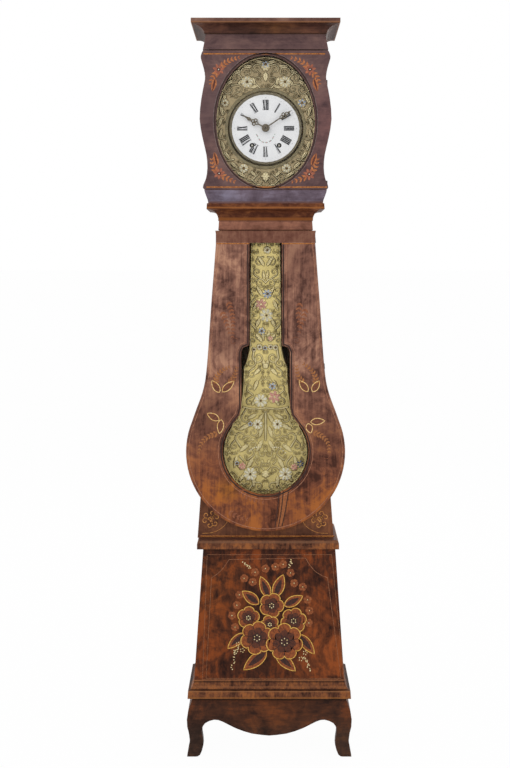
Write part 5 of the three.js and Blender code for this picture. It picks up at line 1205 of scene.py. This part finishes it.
pendulum_fronds = [
    # rows and distances of base and tip, width
    ((266.0, 0.004), (256.0, 0.026), 0.013), ((280.0, 0.004), (270.0, 0.008), 0.012),
    ((296.0, 0.010), (286.0, 0.030), 0.014), ((300.0, 0.026), (311.0, 0.042), 0.013),
    ((318.0, 0.018), (328.0, 0.034), 0.014), ((330.0, 0.012), (341.0, 0.006), 0.012),
    ((342.0, 0.010), (333.0, 0.034), 0.013), ((360.0, 0.008), (369.0, 0.002), 0.014),
    ((368.0, 0.016), (375.0, 0.040), 0.014), ((380.0, 0.026), (391.0, 0.040), 0.014),
    ((396.0, 0.026), (406.0, 0.046), 0.014), ((414.0, 0.008), (426.0, 0.034), 0.014),
    ((426.0, 0.010), (438.0, 0.022), 0.014), ((424.0, 0.050), (430.0, 0.090), 0.016),
    ((440.0, 0.010), (452.0, 0.032), 0.015), ((444.0, 0.056), (452.0, 0.088), 0.016),
    ((458.0, 0.042), (470.0, 0.064), 0.015), ((456.0, 0.096), (468.0, 0.104), 0.014),
    ((476.0, 0.040), (488.0, 0.038), 0.014), ((474.0, 0.070), (482.0, 0.090), 0.014),
    ((414.0, 0.030), (419.0, 0.062), 0.013),
]
for *ends, width in pendulum_fronds:
    raise_frond(spots, *[(across, row_height(row)) for row, across in ends], width, frond_rise)
flowers = [
    # column, row, radius, petals, kind of each painted flower
    (267.3, 250.0, 0.012, 8, "white"), (267.3, 293.8, 0.015, 7, "blue"), (261.0, 304.3, 0.019, 6, "rose"),
    (266.4, 315.3, 0.022, 7, "white"), (261.8, 331.0, 0.0115, 6, "blue"), (270.4, 338.3, 0.009, 5, "rose"),
    (254.0, 349.5, 0.007, 5, "white"), (259.5, 347.0, 0.0095, 6, "white"), (265.0, 348.0, 0.008, 5, "blue"),
    (270.5, 347.0, 0.0085, 6, "white"), (275.5, 347.5, 0.009, 6, "white"), (272.4, 386.2, 0.012, 6, "blue"),
    (260.8, 400.5, 0.022, 8, "white"), (274.4, 396.8, 0.020, 6, "rose"), (257.7, 424.2, 0.0165, 8, "white"),
    (277.4, 424.2, 0.0165, 8, "white"), (250.3, 423.8, 0.008, 5, "blue"), (242.2, 466.0, 0.0125, 6, "rose"),
    (294.2, 467.0, 0.012, 6, "rose"), (250.3, 474.0, 0.022, 8, "white"), (285.4, 474.0, 0.022, 8, "white"),
    (300.4, 464.0, 0.012, 6, "deep blue"), (237.0, 463.0, 0.007, 5, "blue"),
]
whole_spots = grid.reshape(-1, 2)
for column, row, radius, petals, kind in flowers:
    middle = at_pixel((column, row), pendulum_front)
    raise_up(rosette, whole_spots, middle, 1.2 * radius, middle, 1.12 * radius, petals,
             flat_flower_rise if kind == "deep blue" else flower_rise)
for row, radius, petals, turn in ((474.0, 0.014, 7, 0.3), (366.0, 0.010, 4, 0.785)):
    middle = (0.0, row_height(row))
    raise_up(rosette, spots, middle, radius + 0.002, middle, radius, petals, 0.0036, turn)
rib_width, rib_rise, belt_width, belt_rise = 0.0080, 0.0030, 0.0050, 0.0026
middle_rib = [(0.0, row_height(row)) for row in (412.0, 420.0, 430.0, 440.0)]
raise_up(ridge, spots, middle_rib[1], 0.08, middle_rib, rib_width, rib_rise, 0.3)
dot_rows = [[(249.5, 451.0), (254.5, 447.5), (260.5, 447.0)],
            [(272.5, 447.5), (278.5, 447.5), (285.5, 452.5)]]
pearls = sum([rounded(at_pixels(path, pendulum_front), 3) for path in dot_rows], [])
middle_spots = whole_spots - np.array((clock_middle, 0.0))
belt = rounded([(x, row_height(row)) for x, row in ((-0.074, 407.0), (-0.040, 409.0), (0.0, 408.0),
                                                    (0.040, 409.0), (0.074, 407.0))])
raise_up(ridge, middle_spots, belt[16], 0.09, belt, belt_width, belt_rise, 0.0)
for margin, first, step, seed, sizes in (
    (0.014, 0.008, 0.0170, 3, ()), (0.012, 0.006, 0.0115, 11, (0.0048, 0.0060)),
):
    lattice = [(x, z) for z in np.arange(lyre_foot + margin, lyre_top - 0.010, step)
               for x in np.arange(first, 0.132, step) if x < np.interp(z, heights, widths) - 0.009]
    fill_scrolls(spots, lattice, seed, *sizes)
bead_pitch = 0.0065
finish_rim(((1 - np.abs(spread))[None, :] * widths[:, None]).reshape(-1),
           0.75 + 0.25 * np.cos(2 * np.pi * spots[:, 1] / bead_pitch),
           rise=0.0022, bead=(0.0035, 0.0018), groove=(0.0062, 0.0011), flat=0.0006)
sheet = embossed_sheet("pendulum_relief", grid, on_pendulum, pendulum_back, pendulum_brass, closed=False)
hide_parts("pendulum_front")
petal_paints = {
    "white": old_paint("cream_white_petals", "#d8d0b0", "#f4efd8", gloss=0.4),
    "blue": old_paint("pale_blue_petals", "#8f9cb4", "#c6cfdc", gloss=0.4),
    "rose": old_paint("pink_petals", "#c98a78", "#e6b6a2", gloss=0.4),
    "deep blue": old_paint("dark_blue_petals", "#3d4560", "#66718f", gloss=0.4),
}
heart_paint = old_paint("brown_flower_heart", "#4d3a20", "#8a6c3a", gloss=0.4)
petal_edge_steps, petal_depth = 9, 0.0016


def add_petal(verts, faces, middle, angle, radius, half, front, ring):
    """Adds a cupped petal: a rim in front, a rim behind, a crown and a point under it."""
    first, around = len(verts), 2 * petal_edge_steps
    run = np.array((math.cos(angle), math.sin(angle)))
    cross = np.array((-run[1], run[0]))
    start = 0.24 * radius
    for deep in (0, petal_depth):
        for step in range(around):
            t = 0.5 - 0.5 * math.cos(math.pi * step / petal_edge_steps)
            side = half * math.sin(math.pi * step / petal_edge_steps) * (0.6 + 0.5 * t)
            x, z = np.array(middle) + run * (start + (radius - start) * t) + cross * side
            verts.append((x, front - 0.0004 * ring + deep, z))
    x, z = np.array(middle) + run * (start + radius) / 2
    verts += [(x, front - 0.0013 - 0.0007 * ring, z), (x, front + petal_depth, z)]
    top, under = first + 2 * around, first + 2 * around + 1
    for step in range(around):
        after = (step + 1) % around
        faces.append((top, first + after, first + step))
        faces.append((first + step, first + after, first + around + after, first + around + step))
        faces.append((under, first + around + step, first + around + after))


def painted_flowers(name, wanted, panel, above, fullness):
    """Painted petals on the flowers of the relief; a rose has a smaller ring of them on the first."""
    front, body, slot = panel
    for kind, material in petal_paints.items():
        verts, faces = [], []
        for column, row, radius, petals, own in wanted:
            rings = ((1.0, 0.62) if kind == "rose" else (1.0,)) if own == kind else ()
            for ring, reach in enumerate(rings):
                half = min(0.95 * math.pi / petals * 0.72, 0.46) * radius * reach * fullness
                for k in range(petals):
                    angle = 2 * math.pi * (k + 0.5 * ring) / petals + 0.35
                    add_petal(verts, faces, at_pixel((column, row), front), angle, radius * reach, half,
                              front - above, ring)
        if verts:
            piece(name + "_" + kind.replace(" ", "_"), verts, faces, material, body)


# The dark flower passes behind the frame when the pendulum swings, so it lies flat
rim_flowers = [flower for flower in flowers if flower[4] == "deep blue"]
inner_flowers = [flower for flower in flowers if flower[4] != "deep blue"]
painted_flowers("pendulum_petals", inner_flowers, on_pendulum, above=0.0024, fullness=0.82)
painted_flowers("pendulum_rim_petals", rim_flowers, on_pendulum, above=0.0010, fullness=0.82)
hearts = [at_pixel(flower[:2], pendulum_front) for flower in inner_flowers if flower[4] != "rose"]
dots("pendulum_hearts", hearts, on_pendulum, heart_paint, radius=0.0042, height=0.0016, above=0.0028)
dots("pendulum_pearls", pearls, on_pendulum, petal_paints["white"], radius=0.0021, height=0.0020,
     above=0.0012)

# Dial
# A surround of embossed sheet brass, a convex white enamel disc with black numerals, and a moulded bezel.
# A small garland is painted between VII and V.
dial_middle = (clock_middle, 2.0535)
# As on the pendulum: the top colour is painted highlight, the last is painted shade and brown lacquer round
# the forms.
surround_brass = die_brass("lacquered_surround_brass", "#b6a480", "#c9b78e", "#f6eac0", "#33280f")
paint(worn_metal("plain_surround_brass", "#6f6650", "#958a6c", rough=0.4, scale=70.0), "dial_surround")
surround_front = -0.062
on_surround = (surround_front, "case", "embossed_brass")
(left, _, foot), (right, _, head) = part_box("dial_surround")
oval_half_width, oval_half_height = (right - left) / 2 - 0.0015, (head - foot) / 2 - 0.0015
oval_rise = (head + foot) / 2 - dial_middle[1]
ring_radius = 0.1338
rows, columns = 90, 900
angles = np.linspace(0, 2 * math.pi, columns, endpoint=False)
sines, cosines = np.sin(angles), np.cos(angles)
square = (cosines / oval_half_width) ** 2 + (sines / oval_half_height) ** 2
linear = -sines * oval_rise / oval_half_height ** 2
constant = (oval_rise / oval_half_height) ** 2 - 1
reach = (-linear + np.sqrt(linear ** 2 - square * constant)) / square
share = np.linspace(0, 1, rows)[:, None]
radii = ring_radius + (reach[None, :] - ring_radius) * share
grid = np.stack([radii * cosines[None, :], radii * sines[None, :]], 2)
spots = grid.reshape(-1, 2).copy()
whole_spots = grid.reshape(-1, 2)
spots[:, 0] = np.abs(spots[:, 0])
raised, shade_and_patina = np.zeros(len(spots)), np.zeros(len(spots))
scroll_rise, frond_rise, flower_rise = 0.0030, 0.0034, 0.0030
surround_scrolls = [
    # across, up, radius, start, turns, tail and width of each scroll, in metres from the dial's middle
    (0.030, 0.196, 0.016, 2.0, -1.1, 0.016, 0.0055), (0.062, 0.186, 0.019, 0.4, 1.1, 0.020, 0.0055),
    (0.098, 0.166, 0.017, 2.8, -1.1, 0.020, 0.0055), (0.022, 0.158, 0.015, -1.0, 1.1, 0.018, 0.0050),
    (0.090, 0.130, 0.016, 1.2, 1.1, 0.018, 0.0050), (0.122, 0.128, 0.016, -0.6, -1.1, 0.020, 0.0055),
    (0.141, 0.096, 0.013, 1.6, 1.0, 0.016, 0.0050), (0.146, 0.052, 0.012, 2.0, 1.0, 0.018, 0.0050),
    (0.152, 0.016, 0.011, 1.4, -1.0, 0.016, 0.0048), (0.150, -0.022, 0.011, -1.6, 1.0, 0.016, 0.0048),
    (0.143, -0.060, 0.012, -1.2, -1.0, 0.016, 0.0050), (0.128, -0.094, 0.013, -2.0, 1.1, 0.018, 0.0052),
    (0.104, -0.124, 0.013, -1.0, -1.1, 0.016, 0.0050), (0.052, -0.158, 0.015, -2.6, 1.1, 0.018, 0.0052),
    (0.022, -0.172, 0.014, -0.6, -1.1, 0.016, 0.0052), (0.084, -0.140, 0.011, -2.4, 1.0, 0.012, 0.0048),
]
for across, up, *sizes in surround_scrolls:
    raise_scroll(spots, (across, up), *sizes, scroll_rise)
surround_fronds = [
    # base, tip and width of each leaf, measured the same way
    ((0.006, 0.216), (0.034, 0.224), 0.016), ((0.046, 0.206), (0.076, 0.204), 0.016),
    ((0.082, 0.192), (0.108, 0.182), 0.016), ((0.110, 0.158), (0.130, 0.146), 0.016),
    ((0.044, 0.170), (0.036, 0.142), 0.015), ((0.076, 0.160), (0.092, 0.146), 0.014),
    ((0.000, 0.186), (0.000, 0.154), 0.020), ((0.132, 0.112), (0.148, 0.078), 0.015),
    ((0.150, 0.074), (0.140, 0.040), 0.014), ((0.146, 0.036), (0.156, 0.002), 0.014),
    ((0.144, 0.000), (0.154, -0.036), 0.013), ((0.146, -0.040), (0.136, -0.074), 0.014),
    ((0.138, -0.076), (0.116, -0.104), 0.015), ((0.116, -0.110), (0.092, -0.132), 0.014),
    ((0.096, -0.142), (0.062, -0.164), 0.015), ((0.050, -0.140), (0.030, -0.160), 0.013),
    ((0.034, -0.186), (0.006, -0.192), 0.014), ((0.000, -0.142), (0.000, -0.180), 0.020),
    ((0.026, 0.140), (0.058, 0.134), 0.013),
]
for base, tip, width in surround_fronds:
    raise_frond(spots, base, tip, width, frond_rise)
surround_flowers = [
    # column, row, radius, petals, kind
    (247.0, 82.0, 0.019, 8, "white"), (285.0, 82.0, 0.019, 8, "white"), (265.5, 64.5, 0.012, 6, "blue"),
    (225.0, 103.0, 0.012, 6, "white"), (302.0, 103.0, 0.014, 6, "blue"), (243.6, 168.5, 0.015, 7, "white"),
    (286.5, 168.5, 0.015, 7, "white"),
]
for column, row, radius, petals, kind in surround_flowers:
    x, z = at_pixel((column, row), surround_front)
    middle = (x - dial_middle[0], z - dial_middle[1])
    raise_up(rosette, whole_spots, middle, 1.3 * radius, middle, 1.15 * radius, petals, flower_rise)
for up, radius, petals, height, turn in (
    (0.205, 0.017, 7, 0.0042, math.pi / 2), (-0.158, 0.015, 6, 0.0036, 0.0),
):
    raise_up(rosette, spots, (0.0, up), radius + 0.003, (0.0, up), radius, petals, height, turn)
for first, foot, head, step, clear, inset, seed, sizes in (
    (0.006, -0.190, 0.230, 0.0150, 0.006, 0.012, 5, ()),
    (0.003, -0.196, 0.236, 0.0078, 0.003, 0.010, 9, (0.0038, 0.0050)),
):
    lattice = [(x, z) for z in np.arange(foot, head, step) for x in np.arange(first, 0.184, step)
               if math.hypot(x, z) > ring_radius + clear and
               math.hypot(x / (oval_half_width - inset), (z - oval_rise) / (oval_half_height - inset)) < 1]
    fill_scrolls(spots, lattice, seed, *sizes)
bead_count = 190
finish_rim((reach[None, :] - radii).reshape(-1), 0.7 + 0.3 * np.cos(np.tile(angles, rows) * bead_count),
           rise=0.0024, bead=(0.006, 0.0022), groove=(0.0095, 0.0012), flat=0.0004)
embossed_sheet("surround_relief", grid + np.array(dial_middle), on_surround, surround_front + 0.0008,
               surround_brass, closed=True, above=0.0006)
painted_flowers("surround_petals", surround_flowers, on_surround, above=0.0034, fullness=0.66)
hearts = [at_pixel(flower[:2], surround_front) for flower in surround_flowers]
dots("surround_hearts", hearts, on_surround, heart_paint, radius=0.0044, height=0.0016, above=0.0040)

enamel, tree, spot = new_material("white_enamel")
haze = add(tree, "ShaderNodeTexNoise", {"Vector": spot, "Scale": 22.0, "Detail": 5.0})
surface(tree, {"Base Color": tones(tree, haze, (0.3, "#f3f4f6"), (0.7, "#ffffff")), "Roughness": 0.12,
               "Coat Weight": 0.3})
paint(enamel, "enamel_dial")
paint(worn_metal("bezel_brass", "#79715f", "#a0967e", rough=0.42, scale=60.0), "dial_bezel")
numeral_black, tree, spot = new_material("fired_black")
worn = add(tree, "ShaderNodeTexNoise", {"Vector": spot, "Scale": 500.0, "Detail": 2.0})
surface(tree, {"Base Color": tones(tree, worn, (0.4, "#16161a"), (0.75, "#3c3c44")), "Roughness": 0.25})
numeral_foot, numeral_head = 0.0610, 0.0930
wide_letter, thick_stroke, thin_stroke, letter_gap = 0.0085, 0.0039, 0.0006, 0.0014


def stroke(foot_left, foot_right, head_right, head_left, foot=numeral_foot, head=numeral_head):
    """A stroke of a letter, from the left and right ends of its foot and of its head."""
    return [(foot_left, foot), (foot_right, foot), (head_right, head), (head_left, head)]


def numeral_strokes(word):
    """The strokes of a Roman number set upright about the middle."""
    wide = {"I": thick_stroke, "V": wide_letter, "X": wide_letter}
    made, x = [], -(sum(wide[letter] for letter in word) + letter_gap * (len(word) - 1)) / 2
    for letter in word:
        w = wide[letter]
        if letter == "I":
            made.append(stroke(x, x + w, x + w, x))
        elif letter == "V":
            made.append(stroke(x + 0.38 * w, x + 0.62 * w, x + 0.46 * w, x))
            made.append(stroke(x + 0.54 * w, x + 0.62 * w, x + w, x + 0.92 * w))
        else:
            made.append(stroke(x + 0.54 * w, x + w, x + 0.46 * w, x))
            made.append(stroke(x, x + 0.10 * w, x + w, x + 0.90 * w))
        left, right = x - thin_stroke, x + w + thin_stroke
        made.append(stroke(left, right, right, left, numeral_head, numeral_head + thin_stroke))
        made.append(stroke(left, right, right, left, numeral_foot - thin_stroke, numeral_foot))
        x += w + letter_gap
    return made


winding_holes = [(clock_middle + side * 0.0445, dial_middle[1] - 0.0560) for side in (-1, 1)]
hole_radius, cuts = 0.0086, 24


def clear_of_holes(outline):
    """The parts of a stroke, foot to head, that lie clear of the winding holes."""
    foot_left, foot_right, head_right, head_left = [np.array(p) for p in outline]
    parts, part = [], []
    for cut in range(cuts + 1):
        left = foot_left + (head_left - foot_left) * cut / cuts
        right = foot_right + (head_right - foot_right) * cut / cuts
        clear = all(np.linalg.norm((left + right) / 2 - hole) > hole_radius for hole in winding_holes)
        if clear:
            part.append((tuple(left), tuple(right)))
        if part and (not clear or cut == cuts):
            parts.append(part)
            part = []
    return [[*part[0], *part[-1][::-1]] for part in parts if len(part) > 1]


on_enamel = (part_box("enamel_dial")[0][1], "case", "white_enamel")
numeral_outlines = []
for hour, word in enumerate(("XII", "I", "II", "III", "IIII", "V", "VI", "VII", "VIII", "IX", "X", "XI")):
    angle = math.radians(30 * hour)
    right, up = (math.cos(angle), -math.sin(angle)), (math.sin(angle), math.cos(angle))
    for outline in numeral_strokes(word):
        numeral_outlines += clear_of_holes([(dial_middle[0] + x * right[0] + z * up[0],
                                             dial_middle[1] + x * right[1] + z * up[1]) for x, z in outline])
slabs("numerals", numeral_outlines, on_enamel, numeral_black)
minute_ring = 0.1015
minute_places = [from_top(dial_middle, minute_ring, math.radians(6 * minute)) for minute in range(60)]
grey_dot_paint = old_paint("grey_dot_enamel", "#8a8a92", "#b4b4ba", gloss=0.3)
dots("minute_dots", [place for minute, place in enumerate(minute_places) if minute % 5], on_enamel,
     grey_dot_paint, radius=0.0006, height=0.0003)
dots("five_minute_dots", minute_places[::5], on_enamel, grey_dot_paint, radius=0.0011, height=0.0003)
garland = rounded([(dial_middle[0] + x, dial_middle[1] - down) for x, down in (
    (-0.030, 0.020), (-0.018, 0.040), (0.0, 0.047), (0.018, 0.040), (0.030, 0.020))], 6)
green_paint = old_paint("green_enamel_paint", "#7d9c86", "#b3c8b4", gloss=0.3)
rose_paint = old_paint("rose_enamel_paint", "#b98792", "#dcb4b8", gloss=0.3)
dots("garland_leaves", garland[::2], on_enamel, green_paint, radius=0.0017, height=0.0003)
dots("garland_flowers", garland[1::4], on_enamel, rose_paint, radius=0.0021, height=0.0004)

# Hands
# Cut from brass sheet and pierced, now grey-brown, fixed on the pipes of the hour wheel and cannon pinion.
hand_brass = worn_metal("hand_brass", "#4a443a", "#8a8070", rough=0.42, scale=300.0)
paint(hand_brass, "minute_hand", "hour_hand")
